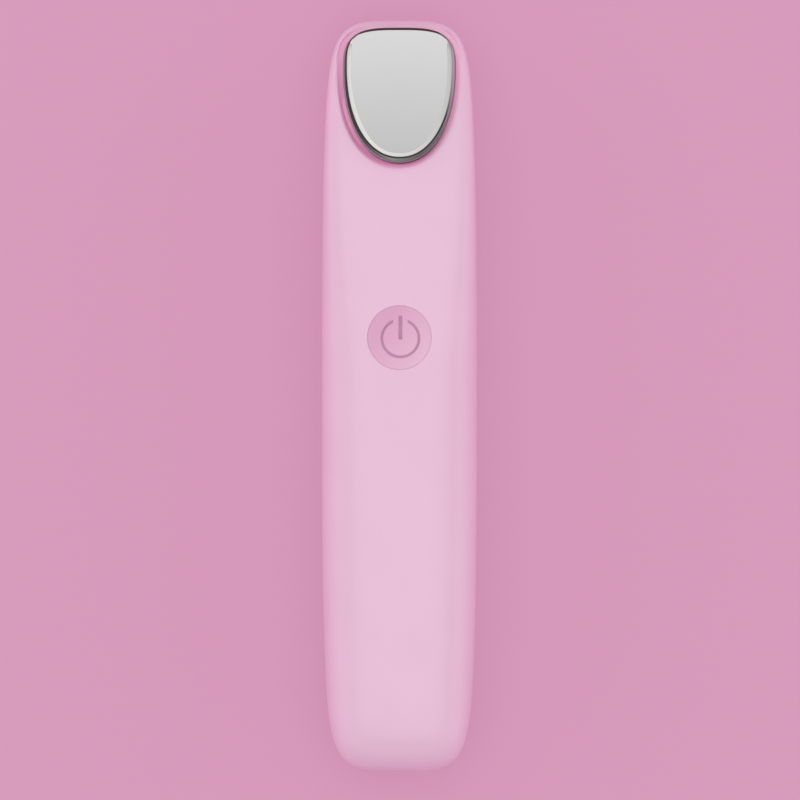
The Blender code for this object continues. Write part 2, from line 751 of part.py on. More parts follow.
def make_screw(name, place, sizes, seat=None):
    """A cross-headed screw whose head is at the bottom and whose thread points up."""
    head_radius, head_height, thread_radius, reach = sizes
    profile = [
        (0, reach),
        (thread_radius * DRIVE_DEPTH_SHARE, reach),
        (thread_radius, reach - thread_radius),
        (thread_radius, head_height),
        (head_radius, head_height),
        (head_radius, head_height * DRIVE_DEPTH_SHARE),
        (head_radius * (1 - DRIVE_DEPTH_SHARE / 2), 0),
        (0, 0),
    ]
    screw = turned(name, profile, STEEL, place, SMALL_STEPS, seat=seat)
    depth = head_height * DRIVE_DEPTH_SHARE
    for number, (long_side, short_side) in enumerate(((0, 1), (1, 0)), 1):
        size = Vector((0, 0, 2 * depth))
        size[long_side] = head_radius * DRIVE_SHARE
        size[short_side] = DRIVE_WIDTH
        slot = cutter(f"{name}_drive_{number}", block(size, (0, 0, 0)), seat)
        slot.location = place
        combine(screw, slot)


def make_head_screws(seat):
    bottom = RETAINER_BOTTOM - FIT_GAP - HEAD_SCREW_HEAD_HEIGHT
    reach = LEDGE_UNDERSIDE + HEAD_SCREW_BITE - bottom
    sizes = (HEAD_SCREW_HEAD_RADIUS, HEAD_SCREW_HEAD_HEIGHT, HEAD_SCREW_RADIUS, reach)
    for number, along in enumerate(HEAD_SCREW_PLACES, 1):
        make_screw(f"retainer_screw_{number}", (0, along, bottom), sizes, seat)


def make_piezo(seat):
    profile = [(0, 0), (PIEZO_RADIUS, 0), (PIEZO_RADIUS, -PIEZO_THICKNESS), (0, -PIEZO_THICKNESS)]
    place = (0, -PIEZO_BELOW_WIDEST, PLATE_UNDERSIDE - FIT_GAP)
    turned("piezo_disc", profile, CERAMIC, place, seat=seat)


# Power button and its switch


def make_button():
    """A dished cap whose rim follows the front's crown, with its flange and stem."""
    flange_radius = BUTTON_HOLE_RADIUS + BUTTON_FLANGE_WIDTH
    flange_top = LIP_HEIGHT - FIT_GAP
    flange_bottom = flange_top - BUTTON_FLANGE_THICKNESS
    stem_bottom = PLUNGER_TOP + BUTTON_TOUCH_GAP
    levels = [
        (stem_bottom, BUTTON_STEM_RADIUS),
        (flange_bottom, BUTTON_STEM_RADIUS),
        (flange_bottom, flange_radius),
        (flange_top, flange_radius),
        (flange_top, BUTTON_RADIUS),
    ]
    rim = BODY_THICKNESS - BUTTON_SETBACK
    for ring in range(BUTTON_DISH_RINGS):
        share = 1 - ring / BUTTON_DISH_RINGS
        levels.append((rim - BUTTON_DISH * (1 - share * share), BUTTON_RADIUS * share))
    form = stack(levels, round_outline, ROUND_STEPS)
    for corner in form.verts:
        if corner.co.z > flange_top:
            surface = front_surface(corner.co.x, BUTTON_PLACE + corner.co.y)
            corner.co.z += surface - BODY_THICKNESS
    button = piece("power_button", form, PINK)
    button.location.y = BUTTON_PLACE


def make_switch():
    bottom = BOARD_TOP + SOLDER_GAP
    size = (SWITCH_WIDTH, SWITCH_WIDTH, SWITCH_HEIGHT)
    body = block(size, (0, BUTTON_PLACE, bottom + SWITCH_HEIGHT / 2))
    body = piece("switch_body", body, BLACK_PLASTIC)
    add_bevel(body, SWITCH_EDGE, 1)
    plunger_bottom = SWITCH_TOP - PLUNGER_SUNK
    bore = [
        (plunger_bottom - PLUNGER_ROOM, PLUNGER_RADIUS + RUNNING_GAP),
        (SWITCH_TOP + CUT_OVERRUN, PLUNGER_RADIUS + RUNNING_GAP),
    ]
    combine(body, cutter("switch_bore", posts(bore, [(0, BUTTON_PLACE)], ROUND_STEPS)))
    profile = [
        (0, PLUNGER_TOP - plunger_bottom),
        (PLUNGER_RADIUS, PLUNGER_TOP - plunger_bottom),
        (PLUNGER_RADIUS, 0),
        (0, 0),
    ]
    turned("switch_plunger", profile, WHITE_PLASTIC, (0, BUTTON_PLACE, plunger_bottom))


# USB socket, board and components


def make_socket():
    back = USB_MOUTH + USB_LENGTH
    shell = pill(USB_WIDTH, USB_HEIGHT, USB_MOUTH, back, PARTING_HEIGHT)
    shell = piece("usb_shell", shell, STEEL)
    inner_width = USB_WIDTH - 2 * USB_METAL
    inner_height = USB_HEIGHT - 2 * USB_METAL
    low, high = USB_MOUTH - CUT_OVERRUN, back + CUT_OVERRUN
    combine(shell, cutter("socket_bore", pill(inner_width, inner_height, low, high, PARTING_HEIGHT)))
    base_width = inner_width - 2 * USB_BASE_GAP
    base_height = inner_height - 2 * USB_BASE_GAP
    base = pill(base_width, base_height, back - USB_BASE_LENGTH, back, PARTING_HEIGHT)
    tongue = piece("usb_tongue", base, BLACK_PLASTIC)
    blade = slab(
        (
            -USB_TONGUE_WIDTH / 2,
            USB_MOUTH + USB_TONGUE_SETBACK,
            PARTING_HEIGHT - USB_TONGUE_THICKNESS / 2,
        ),
        (
            USB_TONGUE_WIDTH / 2,
            back - USB_BASE_LENGTH / 2,
            PARTING_HEIGHT + USB_TONGUE_THICKNESS / 2,
        ),
    )
    combine(tongue, cutter("tongue_blade", blade), "UNION")


def make_board():
    tail = USB_MOUTH + SOLDER_GAP
    shoulder = tail + BOARD_TAIL_LENGTH
    board = slab(
        (-BOARD_WIDTH / 2, shoulder, BOARD_BOTTOM), (BOARD_WIDTH / 2, BOARD_HEAD, BOARD_TOP)
    )
    board = piece("main_board", board, BOARD_GREEN)
    tab = slab(
        (-BOARD_TAIL_WIDTH / 2, tail + BOARD_TAIL_LENGTH / 2, BOARD_BOTTOM),
        (BOARD_TAIL_WIDTH / 2, shoulder + BOARD_TAIL_LENGTH, BOARD_TOP),
    )
    combine(board, cutter("board_tab", tab), "UNION")
    holes = [
        (BOARD_BOTTOM - CUT_OVERRUN, POST_RADIUS + FIT_GAP),
        (BOARD_TOP + CUT_OVERRUN, POST_RADIUS + FIT_GAP),
    ]
    combine(board, cutter("board_holes", posts(holes, SCREW_PLACES)))


def on_board(name, size, below_button, finish, edge):
    bottom = BOARD_TOP + SOLDER_GAP
    centre = (0, BUTTON_PLACE - below_button, bottom + size.z / 2)
    component = piece(name, block(size, centre), finish)
    add_bevel(component, edge, 1)
    return component


def make_components():
    on_board("indicator_led", LED_SIZE, LED_FROM_BUTTON, WHITE_PLASTIC, CHIP_EDGE)
    below = CONTROLLER_SHARE * HANDLE_LENGTH
    on_board("controller_chip", CONTROLLER_SIZE, below, BLACK_PLASTIC, CHIP_EDGE)
    below = CHARGER_SHARE * HANDLE_LENGTH
    on_board("charger_chip", CHARGER_SIZE, below, BLACK_PLASTIC, CHIP_EDGE)
    below = INDUCTOR_SHARE * HANDLE_LENGTH
    on_board("boost_inductor", INDUCTOR_SIZE, below, FERRITE, COIL_EDGE)
    below = TRANSFORMER_SHARE * HANDLE_LENGTH
    core = on_board("drive_transformer", TRANSFORMER_SIZE, below, FERRITE, COIL_EDGE)
    for number, side in enumerate((-1, 1), 1):
        centre = (
            side * TRANSFORMER_SIZE.x / 4,
            BUTTON_PLACE - below,
            BOARD_TOP + SOLDER_GAP + TRANSFORMER_SIZE.z,
        )
        size = (TRANSFORMER_SLOT, TRANSFORMER_SIZE.y + CUT_OVERRUN, TRANSFORMER_SIZE.z)
        combine(core, cutter(f"transformer_slot_{number}", block(size, centre)))
    for number, side in enumerate((-1, 1), 1):
        profile = [
            (0, CAPACITOR_HEIGHT),
            (CAPACITOR_RADIUS - CHIP_EDGE, CAPACITOR_HEIGHT),
            (CAPACITOR_RADIUS, CAPACITOR_HEIGHT - CHIP_EDGE),
            (CAPACITOR_RADIUS, 0),
            (0, 0),
        ]
        along = BUTTON_PLACE - CAPACITOR_SHARE * HANDLE_LENGTH
        place = (side * CAPACITOR_SPREAD, along, BOARD_TOP + SOLDER_GAP)
        turned(f"capacitor_{number}", profile, CELL_FOIL, place, SMALL_STEPS)


# Battery


def make_battery():
    middle = (BATTERY_LOW + BATTERY_HIGH) / 2
    cell = block(BATTERY_SIZE, (0, middle, BATTERY_LIFT + BATTERY_SIZE.z / 2))
    add_bevel(piece("battery_cell", cell, CELL_FOIL), BATTERY_EDGE)
    pad_size = (PAD_WIDTH, BATTERY_SIZE.y * PAD_LENGTH_SHARE, PAD_THICKNESS)
    pad = block(pad_size, (0, middle, BATTERY_LIFT - FIT_GAP - PAD_THICKNESS / 2))
    piece("battery_pad", pad, FOAM)
    guard_height = BATTERY_LIFT + BATTERY_SIZE.z / 2
    guard_size = (PROTECTION_WIDTH, PROTECTION_THICKNESS, PROTECTION_HEIGHT)
    guard = block(guard_size, (0, PROTECTION_PLACE, guard_height))
    piece("protection_board", guard, BOARD_GREEN)
    plug_height = BOARD_BOTTOM - SOLDER_GAP - PLUG_SIZE.z / 2
    plug = block(PLUG_SIZE, (0, BATTERY_HIGH + PLUG_FROM_BATTERY, plug_height))
    add_bevel(piece("battery_plug", plug, WHITE_PLASTIC), CHIP_EDGE, 1)


# Vibration motor


def make_motor():
    bore = SHAFT_RADIUS + RUNNING_GAP
    shaft_low = MOTOR_FRONT + SHAFT_PROUD - SHAFT_LENGTH
    bore_end = shaft_low - FIT_GAP - MOTOR_REAR
    profile = [
        (0, bore_end),
        (bore, bore_end),
        (bore, MOTOR_LENGTH),
        (MOTOR_RADIUS - MOTOR_EDGE, MOTOR_LENGTH),
        (MOTOR_RADIUS, MOTOR_LENGTH - MOTOR_EDGE),
        (MOTOR_RADIUS, MOTOR_EDGE),
        (MOTOR_RADIUS - MOTOR_EDGE, 0),
        (0, 0),
    ]
    place = (0, MOTOR_REAR, PARTING_HEIGHT)
    turned("motor_can", profile, STEEL, place, lies_along=True)
    inner = MOTOR_RADIUS + FIT_GAP
    outer = inner + BOOT_WALL
    profile = [(outer, BOOT_LENGTH), (outer, 0), (inner, 0), (inner, BOOT_LENGTH)]
    place = (0, MOTOR_MIDDLE - BOOT_LENGTH / 2, PARTING_HEIGHT)
    turned("motor_boot", profile, BLACK_RUBBER, place, lies_along=True)
    profile = [(0, SHAFT_LENGTH), (SHAFT_RADIUS, SHAFT_LENGTH), (SHAFT_RADIUS, 0), (0, 0)]
    place = (0, shaft_low, PARTING_HEIGHT)
    turned("motor_shaft", profile, STEEL, place, SMALL_STEPS, lies_along=True)
    profile = [(WEIGHT_RADIUS, WEIGHT_LENGTH), (WEIGHT_RADIUS, 0), (bore, 0), (bore, WEIGHT_LENGTH)]
    place = (0, MOTOR_FRONT + WEIGHT_FROM_MOTOR, PARTING_HEIGHT)
    weight = turned("eccentric_weight", profile, STEEL, place, lies_along=True)
    light_side = slab(
        (-WEIGHT_RADIUS - CUT_OVERRUN, place[1] - CUT_OVERRUN, PARTING_HEIGHT + WEIGHT_HUB),
        (
            WEIGHT_RADIUS + CUT_OVERRUN,
            place[1] + WEIGHT_LENGTH + CUT_OVERRUN,
            PARTING_HEIGHT + WEIGHT_RADIUS + CUT_OVERRUN,
        ),
    )
    combine(weight, cutter("weight_light_side", light_side))


# Screws and plugs of the shells


def make_shell_screws():
    bottom = SCREW_SEAT_HEIGHT - FIT_GAP - SCREW_HEAD_HEIGHT
    sizes = (SCREW_HEAD_RADIUS, SCREW_HEAD_HEIGHT, SCREW_RADIUS, SCREW_REACH - bottom)
    height = bottom - PLUG_TOP_GAP
    for number, (across, along) in enumerate(SCREW_PLACES, 1):
        make_screw(f"housing_screw_{number}", (across, along, bottom), sizes)
        profile = [
            (0, height),
            (SCREW_HEAD_RADIUS, height),
            (SCREW_HEAD_RADIUS, PLUG_EDGE),
            (SCREW_HEAD_RADIUS - PLUG_EDGE, 0),
            (0, 0),
        ]
        turned(f"screw_plug_{number}", profile, PINK_RUBBER, (across, along, 0), SMALL_STEPS)


# Leads


def smooth_route(points):
    """Points along a smooth curve through a route's own points."""
    ends = [2 * points[0] - points[1], *points, 2 * points[-1] - points[-2]]
    route = []
    for before, start, end, after in zip(ends, ends[1:], ends[2:], ends[3:]):
        for step in range(LEAD_STEPS):
            share = step / LEAD_STEPS
            route.append(
                start
                + (end - before) * share / 2
                + (2 * before - 5 * start + 4 * end - after) * share**2 / 2
                + (3 * start - before - 3 * end + after) * share**3 / 2
            )
    return [*route, points[-1]]


def make_lead(name, points, finish):
    route = smooth_route([Vector(point) for point in points])
    curve = bpy.data.curves.new(name, "CURVE")
    curve.dimensions = "3D"
    curve.bevel_depth = LEAD_RADIUS
    curve.bevel_resolution = 1
    curve.use_fill_caps = True
    spline = curve.splines.new("POLY")
    spline.points.add(len(route) - 1)
    for point, place in zip(spline.points, route):
        point.co = (*place, 1)
    curve.materials.append(finish)
    PARTS.objects.link(bpy.data.objects.new(name, curve))


def make_leads():
    board_middle = BOARD_BOTTOM + BOARD_THICKNESS / 2
    board_edge = BOARD_HEAD + LEAD_END_GAP
    beside_boot = PIEZO_LEAD_SIDE
    disc_back = PLATE_UNDERSIDE - FIT_GAP - PIEZO_THICKNESS - FIT_GAP
    for number, (side, finish) in enumerate(((1, RED_WIRE), (-1, BLACK_WIRE)), 1):
        start = PIEZO_LEAD_START
        along = start.y - PIEZO_BELOW_WIDEST
        make_lead(
            f"piezo_lead_{number}",
            [
                seat_to_body(side * start.x, along, disc_back),
                seat_to_body(side * start.x, along, disc_back - PIEZO_LEAD_DROP / 2),
                seat_to_body(side * start.x, along, disc_back - PIEZO_LEAD_DROP),
                (side * (beside_boot - LEAD_SPREAD), MOTOR_FRONT + SHAFT_PROUD, PARTING_HEIGHT),
                (side * beside_boot, MOTOR_MIDDLE, PARTING_HEIGHT),
                (side * beside_boot, (MOTOR_REAR + board_edge) / 2, board_middle),
                (side * beside_boot, board_edge, board_middle),
            ],
            finish,
        )
        make_lead(
            f"motor_lead_{number}",
            [
                (side * LEAD_SPREAD, MOTOR_REAR - FIT_GAP, PARTING_HEIGHT),
                (side * LEAD_SPREAD, (MOTOR_REAR + board_edge) / 2, PARTING_HEIGHT),
                (side * LEAD_SPREAD, board_edge, board_middle),
            ],
            finish,
        )
        guard_face = PROTECTION_PLACE + PROTECTION_THICKNESS / 2 + FIT_GAP
        guard_height = BATTERY_LIFT + BATTERY_SIZE.z / 2
        plug_face = BATTERY_HIGH + PLUG_FROM_BATTERY - PLUG_SIZE.y / 2 - FIT_GAP
        plug_height = BOARD_BOTTOM - SOLDER_GAP - PLUG_SIZE.z / 2
        make_lead(
            f"battery_lead_{number}",
            [
                (side * BATTERY_LEAD_SPREAD, guard_face, guard_height),
                (
                    side * BATTERY_LEAD_SPREAD,
                    (guard_face + plug_face) / 2,
                    (guard_height + plug_height) / 2,
                ),
                (side * BATTERY_LEAD_SPREAD, plug_face, plug_height),
            ],
            finish,
        )


def main():
    seat = make_seat()
    make_front_housing(seat)
    make_rear_housing()
    make_plate(seat)
    make_gasket(seat)
    make_carrier(seat)
    make_retainer(seat)
    make_head_screws(seat)
    make_piezo(seat)
    make_button()
    make_switch()
    make_socket()
    make_board()
    make_components()
    make_battery()
    make_motor()
    make_shell_screws()
    make_leads()
    bpy.context.view_layer.update()


main()
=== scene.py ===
import json
import math

import bpy
from bpy.props import FloatProperty, FloatVectorProperty, PointerProperty
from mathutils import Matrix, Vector


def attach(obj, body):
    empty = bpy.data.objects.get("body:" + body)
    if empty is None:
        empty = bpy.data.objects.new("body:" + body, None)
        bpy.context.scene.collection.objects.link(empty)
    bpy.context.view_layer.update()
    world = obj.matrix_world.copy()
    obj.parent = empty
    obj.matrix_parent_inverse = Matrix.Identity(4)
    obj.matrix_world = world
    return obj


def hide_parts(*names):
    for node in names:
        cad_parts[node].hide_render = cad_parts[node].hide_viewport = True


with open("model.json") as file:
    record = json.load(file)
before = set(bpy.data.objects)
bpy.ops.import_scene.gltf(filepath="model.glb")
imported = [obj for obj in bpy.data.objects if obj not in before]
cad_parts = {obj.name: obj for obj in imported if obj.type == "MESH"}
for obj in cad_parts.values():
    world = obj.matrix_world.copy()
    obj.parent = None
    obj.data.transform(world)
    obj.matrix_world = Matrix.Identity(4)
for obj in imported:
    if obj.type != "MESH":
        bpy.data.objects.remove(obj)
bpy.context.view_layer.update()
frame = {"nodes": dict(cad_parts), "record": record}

bl_info = {
    "name": "Eye massager finish",
    "version": (1, 0, 0),
    "blender": (4, 5, 0),
    "location": "View3D > Sidebar > Massager",
    "description": "Builds the finished outside of a handheld eye massager round its packed frame",
    "category": "Object",
}

# X runs across the wand, Y along it to the massage head and Z up through its front.

# How finely round forms are divided
AROUND = 144
STATIONS = 210
HOLLOW_AROUND = 64
HOLLOW_STATIONS = 90
OUTLINE_STEPS = 240
ROUND_STEPS = 128
SMALL_STEPS = 64
RIM_STEPS = 4
SMOOTH_ANGLE = math.radians(32)
PLATE_SMOOTH_ANGLE = math.radians(24)
END_CROWDING = 2.2  # how much closer the rings are at the wand's ends

# Shape of the body, as its solids have it
BACK_LIFT = 0.0002  # of the back's flat, above the soft plugs that are its feet
BACK_FLAT_DEPTH = 0.0003
HEAD_WALL = 0.0034
HEAD_LENGTH = 0.0320
HEAD_BEND = 0.0040
HEAD_WALL_BEFORE = 0.0080
HEAD_WALL_AFTER = 0.0040
SQUARE_BEFORE = 0.0360
SQUARE_AFTER = 0.0140
HEAD_SLANT = math.radians(13)
TAPER_SHARE = 0.1235
TAPER_POWER = 3.3
PLAN_END_POWER = 17
PLAN_CORNER_POWER = 4.1
HEAD_END_POWER = 34
TAIL_END_POWER = 14
SIDE_CORNER_POWER = 2.4
SECTION_POWER = 3.0
HEAD_SECTION_POWER = 6

# Plate, its recess and its seat
PLATE_TOP_REACH = 0.0077
PLATE_LOW_REACH = 0.01735
PLATE_TOP_POWER = 3.3
PLATE_LOW_POWER = 2.15
PLATE_SETBACK = 0.00155
PLATE_SINK = 0.0002
PLATE_WALL = 0.0008
PLATE_FACE = 0.0008
PLATE_CROWN = 0.00012  # the face's middle over its edge
TIP_CHAMFER_SHARE = 0.33  # of the chamfer's width, at the tip, where it is painted dark as a reflection
CORNER_CHAMFER_SHARE = 0.12  # at the two corners beside the tip
LOW_CHAMFER_SHARE = 0.75  # at the handle end
TIP_WIDENING = 0.75, 1  # between these sines of a place's turn
CORNER_NARROWING = 0.2, 0.6
LOW_NARROWING = 0.6, 1
TIP_LINE_SHARE = 0.79  # of the plate's reach, from which the chamfer takes the painted dark reflection
FOOT_HEIGHT = 0.00053  # of the rolled foot round the plate's wall
FOOT_WIDTH = 0.00018
EDGE_WIDTH = 0.00022  # of the turn from the wall to the chamfer, painted dark as a reflection
EDGE_HEIGHT = 0.00016
SOFTENING = 0.00004  # how far a corner of the plate is rounded
RECESS_DEPTH = 0.0012
SEAT_DEPTH = 0.0012
SEAT_GAP = 0.00005  # seen round the plate's foot
OPENING_INSET = 0.0024
FLOOR_RISE = 0.00028  # of the recess's floor over the plate's seat
SHADOW_LEAN = 0.03  # how fast the recess's painted shadow under the plate thins out towards the tip
RIM_RADIUS = 0.00026  # of the recess's rim
WALL_LAY = 0.75  # how much wider the recess's wall is where it is laid back
LAY_TURN = math.radians(35)  # of that place, from the right towards the handle
LAY_SPAN = -0.2, 0.8  # where it starts and is full, as cosines of the turn from there
LEFT_LAY = 0.5  # of it, on the opposite side
LEFT_SPAN = 0.55, 1
WALL_SPREAD = 0.35  # how much wider, outwards, the recess's rim and wall are on the lower left
SPREAD_TURN = math.radians(55)  # of that place, from the left towards the handle
SPREAD_SPAN = 0.75, 1
LEAST_RISE = 0.00004
FACE_RINGS = (0.985, 0.85, 0.7, 0.5, 0.3, 0.12)  # inside the plate's face, as shares of it
FOOT, WALL, LINE, CHAMFER, FACE = range(5)  # the plate's materials, whose colours paint its reflections, highlights and shade
CUT_OVERRUN = 0.0020

# Button and symbol
LIP_HEIGHT = 0.0176
BUTTON_GAP = 0.00002
BUTTON_SETBACK = 0.00002
BUTTON_RIM = 0.00005
FLANGE_WIDTH = 0.0010
FLANGE_THICKNESS = 0.0007
FLANGE_ROOM = 0.0004
FIT_GAP = 0.0003
STEM_RADIUS = 0.0016
STEM_BOTTOM = 0.01568
DISH_RINGS = 14
DISH_MIDDLE = 0.02  # the last ring's share of the dish
HOLE_RIM = 0.00008
SYMBOL_RAISE = 0.000012
SYMBOL_THICKNESS = 0.00006
SYMBOL_SHIFT = 0.00018  # the symbol's middle from the button's, across
SYMBOL_GAP = 0.00132  # half of the ring's opening
SYMBOL_DROP = 0.00013  # of the ring under the middle of the cap
BAR_LOW = -0.00035
BAR_HIGH = 0.00400
BAR_NARROWING = 0.35  # of its rounded ends
RING_GRID = 120, 3
BAR_GRID = 6, 30

# Socket
SOCKET_WIDTH = 0.00894
SOCKET_HEIGHT = 0.00326
SOCKET_LENGTH = 0.00735
SOCKET_METAL = 0.0003
SOCKET_SETBACK = 0.0010
SOCKET_GAP = 0.0002
PORT_CHAMFER = 0.00035
TONGUE_WIDTH = 0.00669
TONGUE_THICKNESS = 0.0007
TONGUE_SETBACK = 0.0008
CONTACT_COUNT = 12
CONTACT_PITCH = 0.0005
CONTACT_SIZE = Vector((0.00028, 0.0038, 0.00004))

# Screw wells and their plugs
WELL_PLACES = [
    (side * spread, along)
    for spread, along in ((0.0055, -0.0560), (0.0060, 0.0195))
    for side in (-1, 1)
]
WELL_RADIUS = 0.0021
WELL_DEPTH = 0.0033
WELL_WALL = 0.0010
POST_FOOT = 0.0009  # inside the back's wall
PLUG_RADIUS = 0.00195
PLUG_TOP = 0.0015
PLUG_EDGE = 0.0003
PLUG_DIMPLE = 0.00012

# Painted shade, highlights and reflections that run across a piece: the direction, and where
# the first and the last are, in half widths of the piece from its middle
RECESS_BLEND = (1, 0.7, 0), (-0.8, 0)
FOOT_BLEND = (1, 0.25, 0), (-1, -0.5)
WALL_BLEND = (1, 0.25, 0), (-1.06, 1)
LINE_BLEND = (1, 0.05, 0), (0.78, 1)
CHAMFER_BLEND = (-0.9, 0.45, 0), (-0.88, 1.14)
CAP_BLEND = (0.8, -0.6, 0), (-0.6, 1)
WALL_REFLECTION_SHARES = (0.02, 1, 0.5, 0.6)  # of the plate wall's glint colour, as painted reflections round the plate from the left
LINE_RIGHT_SHADE = 0.95  # of the wall's painted reflection colour, for the dark line's painted reflection on the right
PLUG_SHADE = 0.93  # of the shell's colour
NOISE_LOW, NOISE_HIGH = 0.3, 0.7  # the part of a noise that is used

# Stage
ROOM_LEVEL = 0.34  # of the light from the world
FLOOR_DROP = 0.00002  # of the backdrop under the feet
FLOOR_GLOW = 0.65  # the share of the floor's colour that no shadow takes
LAMP_DISTANCE = 0.9  # of the lamps beside the wand
LAMP_HEIGHT = 0.25


def metres(name, description, default):
    return FloatProperty(
        name=name, description=description, default=default, unit="LENGTH", precision=5
    )


def colour_property(name, description, default):
    return FloatVectorProperty(
        name=name, description=description, subtype="COLOR", size=3, min=0, max=1, default=default
    )


class ShellSizes(bpy.types.PropertyGroup):
    length: metres("Length", "From tail to tip", 0.1360)
    width: metres("Width", "At the middle", 0.0281)
    thickness: metres("Thickness", "From the back's flat to the front", 0.0190)
    parting: metres("Parting height", "Where the two shells meet", 0.0082)
    wall: metres("Wall", "Of both shells", 0.0016)
    seam: metres("Seam", "Between the shells", 0.00014)


class HeadSizes(bpy.types.PropertyGroup):
    plate_width: metres("Plate width", "Across its widest place", 0.0203)
    plate_height: metres("Plate height", "Above the recess", 0.0026)
    draft: metres("Draft", "How far the plate's wall leans in", 0.00062)
    chamfer_width: metres("Chamfer width", "Round the plate's face", 0.00080)
    chamfer_height: metres("Chamfer height", "Round the plate's face", 0.00013)
    recess_width: metres("Recess width", "Round the plate", 0.00127)


class ButtonSizes(bpy.types.PropertyGroup):
    from_tip: metres("From the tip", "To the button's middle", 0.0575)
    radius: metres("Hole radius", "Of the button's hole", 0.0058)
    dish: metres("Dish", "Depth of the hollow", 0.0008)
    ring_radius: metres("Ring radius", "Outer radius of the symbol", 0.0036)
    stroke: metres("Stroke", "Of the symbol", 0.0005)
    bar: metres("Bar", "Width of its bar", 0.0007)


class Colours(bpy.types.PropertyGroup):
    shell: colour_property("Shell", "Pale orchid plastic", (0.82, 0.50, 0.68))
    # Painted shade: the recess is coloured deeper than the shell where its shade falls, darkest on
    # the left, with painted light towards its upper right
    recess: colour_property("Recess", "Deeper orchid beside the plate", (0.97, 0.38, 0.65))
    recess_painted_light: colour_property("Recess, light", "Towards its upper right", (0.95, 0.49, 0.70))
    # Painted shadow in the recess under the plate's low end
    recess_painted_shadow: colour_property("Recess, deep", "Under the plate's low end", (0.97, 0.24, 0.55))
    # Painted shade on the button: its colour, partly the button's own deeper orchid, runs from
    # darker at the upper left to lighter at the lower right as the shading of its dish
    cap: colour_property("Button", "Deeper orchid of the button", (0.735, 0.375, 0.565))
    cap_painted_light: colour_property("Button, light", "Towards its lower right", (0.82, 0.48, 0.66))
    symbol: colour_property("Symbol", "Printed power symbol", (0.52, 0.23, 0.38))
    # Painted reflection on the plate's face: its metal colour is lighter towards the tip and darker
    # towards the handle
    plate: colour_property("Plate", "Polished face, towards the tip", (0.61, 0.61, 0.61))
    plate_low_painted_dim: colour_property("Plate, low", "Towards the handle", (0.455, 0.455, 0.455))
    # Painted highlight on the chamfer, brightest on the left and dimmer on the right
    plate_edge_painted_highlight: colour_property("Plate edge", "Chamfer, on the left", (0.83, 0.825, 0.80))
    plate_edge_right_painted_dim: colour_property("Plate edge, right", "On its right", (0.55, 0.55, 0.535))
    # A near-black painted dark reflection under the chamfer, taking the wall's painted colour on
    # the right
    plate_line_painted_dark: colour_property("Plate line", "Under the chamfer", (0.02, 0.02, 0.02))
    # Painted reflections on the plate's wall: dark and light bands that change round it, and a
    # mauve reflection of the pink recess on the right
    plate_wall_painted_glint: colour_property("Plate wall", "Its lightest shade, on the left", (0.29, 0.35, 0.31))
    plate_wall_right_painted_reflection: colour_property("Plate wall, right", "On its right", (0.52, 0.38, 0.45))
    # Painted reflection and shade on the plate's rolled foot: lighter on the left, darker on the
    # right and round the low end
    plate_foot_painted_light: colour_property("Plate foot", "Rolled edge, on the left", (0.42, 0.33, 0.38))
    plate_foot_right_painted_shade: colour_property("Plate foot, right", "On its right", (0.35, 0.21, 0.29))
    backdrop: colour_property("Backdrop", "Floor and background", (0.694, 0.333, 0.515))


class StageSizes(bpy.types.PropertyGroup):
    camera_height: metres("Camera height", "Above the floor", 4.0)
    frame_width: metres("Frame width", "Seen at the parting plane", 0.14497)
    frame_across: metres("Across", "The view's middle, across", 0.00011)
    frame_along: metres("Along", "The view's middle, along", -0.00077)
    floor_size: metres("Floor", "Its side", 6.0)


# Objects and modifiers


def chosen(group):
    """The sizes or colours of a group, as they are set in the sidebar."""
    return getattr(bpy.context.scene, f"massager_{group}")


def set_mode(mode):
    bpy.ops.object.mode_set(mode=mode)


def start_clean():
    if bpy.context.mode != "OBJECT":
        set_mode("OBJECT")
    bpy.ops.object.select_all(action="DESELECT")


def take_name(name):
    made = bpy.context.object
    made.name = made.data.name = name
    return made


def work_on(target):
    start_clean()
    target.select_set(True)
    bpy.context.view_layer.objects.active = target


def face_outwards(target):
    work_on(target)
    set_mode("EDIT")
    bpy.ops.mesh.select_all(action="SELECT")
    bpy.ops.mesh.normals_make_consistent(inside=False)
    set_mode("OBJECT")


def face_front(sheet):
    """Turns an open sheet's faces to the front."""
    face_outwards(sheet)
    if sum(face.normal.z for face in sheet.data.polygons) < 0:
        set_mode("EDIT")
        bpy.ops.mesh.flip_normals()
        set_mode("OBJECT")


def apply_step(target, kind, **settings):
    work_on(target)
    step = target.modifiers.new(kind.lower(), kind)
    for key, value in settings.items():
        setattr(step, key, value)
    bpy.ops.object.modifier_apply(modifier=step.name)


def cut(target, tool, operation="DIFFERENCE"):
    apply_step(target, "BOOLEAN", object=tool, operation=operation, solver="MANIFOLD")
    bpy.data.objects.remove(tool)


def smooth(target, angle=SMOOTH_ANGLE):
    work_on(target)
    bpy.ops.object.shade_smooth_by_angle(angle=angle)


def copy_to_wells(model):
    """Takes a form at the wand's middle to each screw well, as a copy with its own mesh."""
    copies = []
    for number, (across, along) in enumerate(WELL_PLACES, 1):
        work_on(model)
        bpy.ops.object.duplicate_move(TRANSFORM_OT_translate={"value": (across, along, 0)})
        copies.append(take_name(f"{model.name}_{number}"))
        bpy.ops.object.transform_apply()
    bpy.data.objects.remove(model)
    return copies


def dress(piece, body, slot, finishes, *nodes):
    """Gives a finished piece its materials and its body, and hides the nodes that it stands for.
    The slot is not used.
    """
    piece.data.materials.clear()
    for finish in finishes:
        piece.data.materials.append(finish)
    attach(piece, body)
    if nodes:
        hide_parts(*nodes)


# Forms


def round_outline(turn, radius):
    return radius * math.cos(turn), radius * math.sin(turn)


